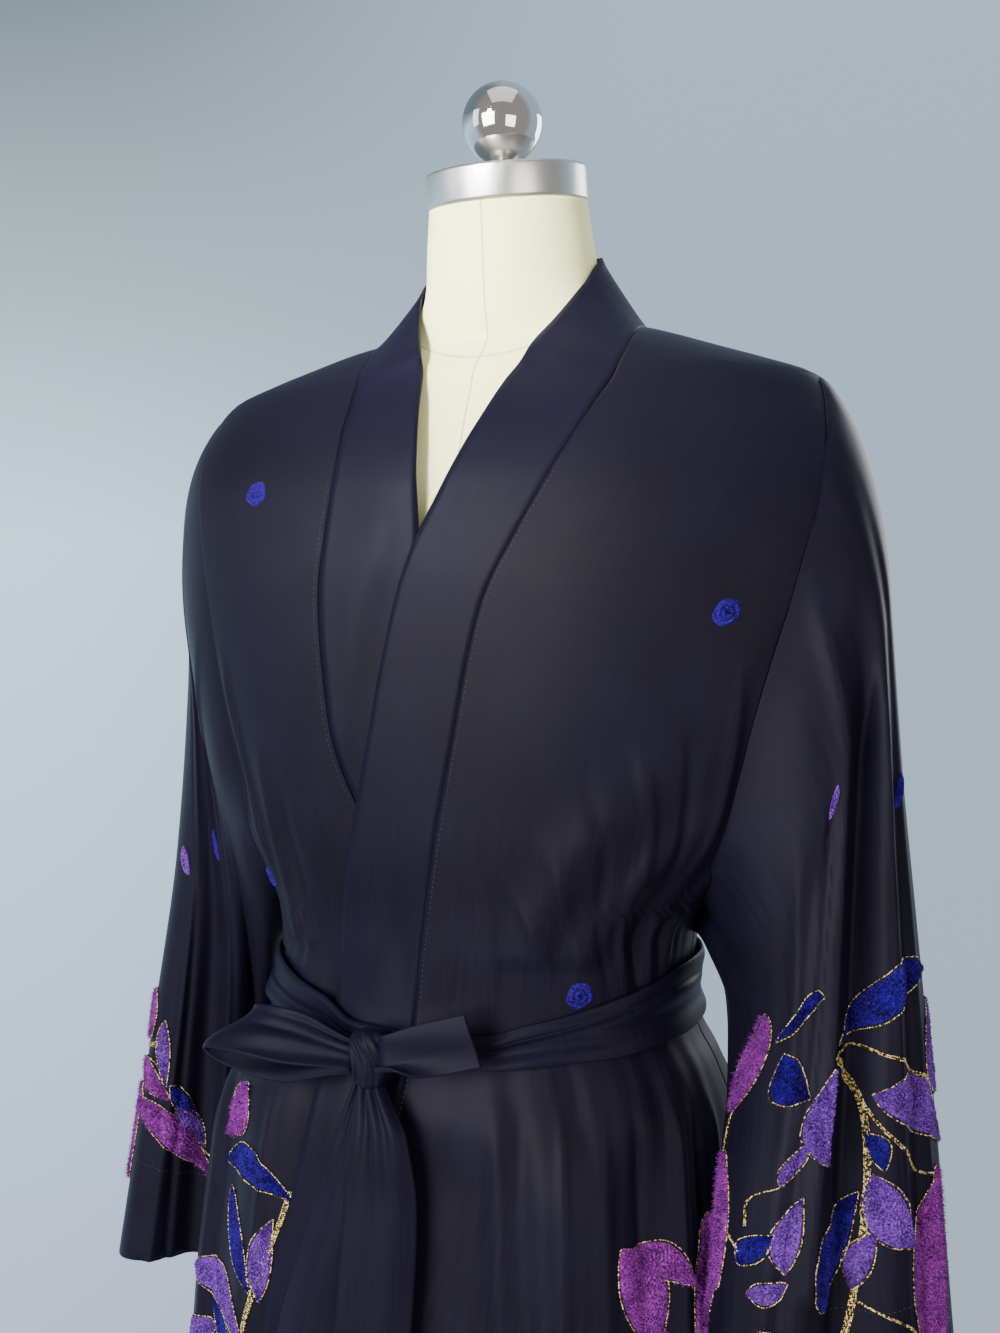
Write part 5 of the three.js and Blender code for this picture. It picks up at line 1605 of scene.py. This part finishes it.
# %% Lights
def area_light(name, place, target, size, power, colour, spread=180):
    """A soft oblong light at a place, pointed at a target; places in metres, power in watts."""
    light = bpy.data.lights.new(name, "AREA")
    light.shape = "RECTANGLE"
    light.size, light.size_y = size
    light.energy = power
    light.color = linear(colour)[:3]
    light.spread = np.radians(spread)
    item = bpy.data.objects.new(name, light)
    item.location = place
    aim = np.array(target) - np.array(place)
    item.rotation_euler = Vector(aim).to_track_quat("-Z", "Y").to_euler()
    bpy.context.scene.collection.objects.link(item)


area_light("window_front", (-0.9, -2.4, 1.4), (0, 0, 1.1), (1.6, 1.5), 124, "#fcfaff")
area_light("window_left", (-2.1, -1.2, 1.9), (0, 0, 1.1), (0.8, 1.5), 9, "#f8f6ff")
area_light("room_right", (1.8, -1.9, 1.0), (0, 0, 1.1), (1.3, 1.4), 30, "#fff8f4")
area_light("window_high", (-0.5, -1.7, 2.0), (0, 0, 1.46), (0.3, 0.3), 1.6, "#fcfdf4", spread=16)
area_light("room_back", (1.2, 2.3, 1.9), (0, 0, 1.0), (1.4, 1.4), 36, "#fbfaff")
area_light("ceiling", (0.2, -0.6, 3.0), (0, 0, 1.2), (1.6, 1.6), 8, "#ffffff")

# %% [markdown]
# ### Wall and floor
# The wall is out of focus and far away, so it is the world's own colour: a ramp by height on
# either side, mixed from left to right, and the room behind the camera.

# %% World and floor
# Colours of the wall by height, from low to high, and of the room behind the camera; linear light.
WALL_LEFT = [
    (0.0, (0.35, 0.41, 0.57, 1)), (0.6, (0.48, 0.68, 0.84, 1)), (0.78, (0.3, 0.38, 0.44, 1)),
    (1.0, (0.11, 0.15, 0.17, 1)),
]
WALL_RIGHT = [(0.0, (0.25, 0.3, 0.37, 1)), (1.0, (0.26, 0.33, 0.4, 1))]
ROOM = (0.2, 0.19, 0.185, 1)
FLOOR_RADII, FLOOR_Z = [0.01, 400.0, 1400.0], -0.2

world = bpy.data.worlds.new("grey_blue_room")
bpy.context.scene.world = world
world.use_nodes = True
sky = world.node_tree
ray = add_node(sky, "ShaderNodeTexCoord").outputs["Generated"]
# Shares of a ray that run to the camera's right, ahead of it and up: dot products.
to_right, ahead, upwards = [
    add_node(
        sky, "ShaderNodeVectorMath", {"operation": "DOT_PRODUCT"}, {0: ray, 1: direction}
    ).outputs["Value"]
    for direction in (
        (np.cos(CAMERA_TURN), np.sin(CAMERA_TURN), 0),
        (-np.sin(CAMERA_TURN), np.cos(CAMERA_TURN), 0),
        (0, 0, 1),
    )
]
up_share, right_share, room_share = [
    add_node(
        sky, "ShaderNodeMapRange", {"interpolation_type": way},
        {"Value": value, "From Min": low, "From Max": high},
    ).outputs[0]
    for value, low, high, way in (
        (upwards, -0.42, 0.42, "LINEAR"), (to_right, -0.34, 0.1, "SMOOTHSTEP"),
        (ahead, 0.1, -0.3, "SMOOTHSTEP"),
    )
]
left_wall, right_wall = [
    add_node(sky, "ShaderNodeValToRGB", None, {"Fac": up_share}, stops).outputs["Color"]
    for stops in (WALL_LEFT, WALL_RIGHT)
]
wall = add_node(
    sky, "ShaderNodeMix", {"data_type": "RGBA"},
    {"Factor": right_share, 6: left_wall, 7: right_wall},
).outputs[2]
surroundings = add_node(
    sky, "ShaderNodeMix", {"data_type": "RGBA"}, {"Factor": room_share, 6: wall, 7: ROOM}
).outputs[2]
backdrop = sky.nodes["Background"]
sky.links.new(surroundings, backdrop.inputs["Color"])
backdrop.inputs["Strength"].default_value = 2.0

floor_paint, _, _ = new_material("pale_floor_paint", Base_Color=linear("#d4d6d9"), Roughness=0.7)
floor_grid = lathe([(radius, FLOOR_Z) for radius in FLOOR_RADII])
floor_faces = grid_faces(*floor_grid.shape[:2], True).tolist()
floor = mesh_object("floor", floor_grid, floor_faces, floor_paint, smooth=False)
print("pieces:", len(root_pieces))
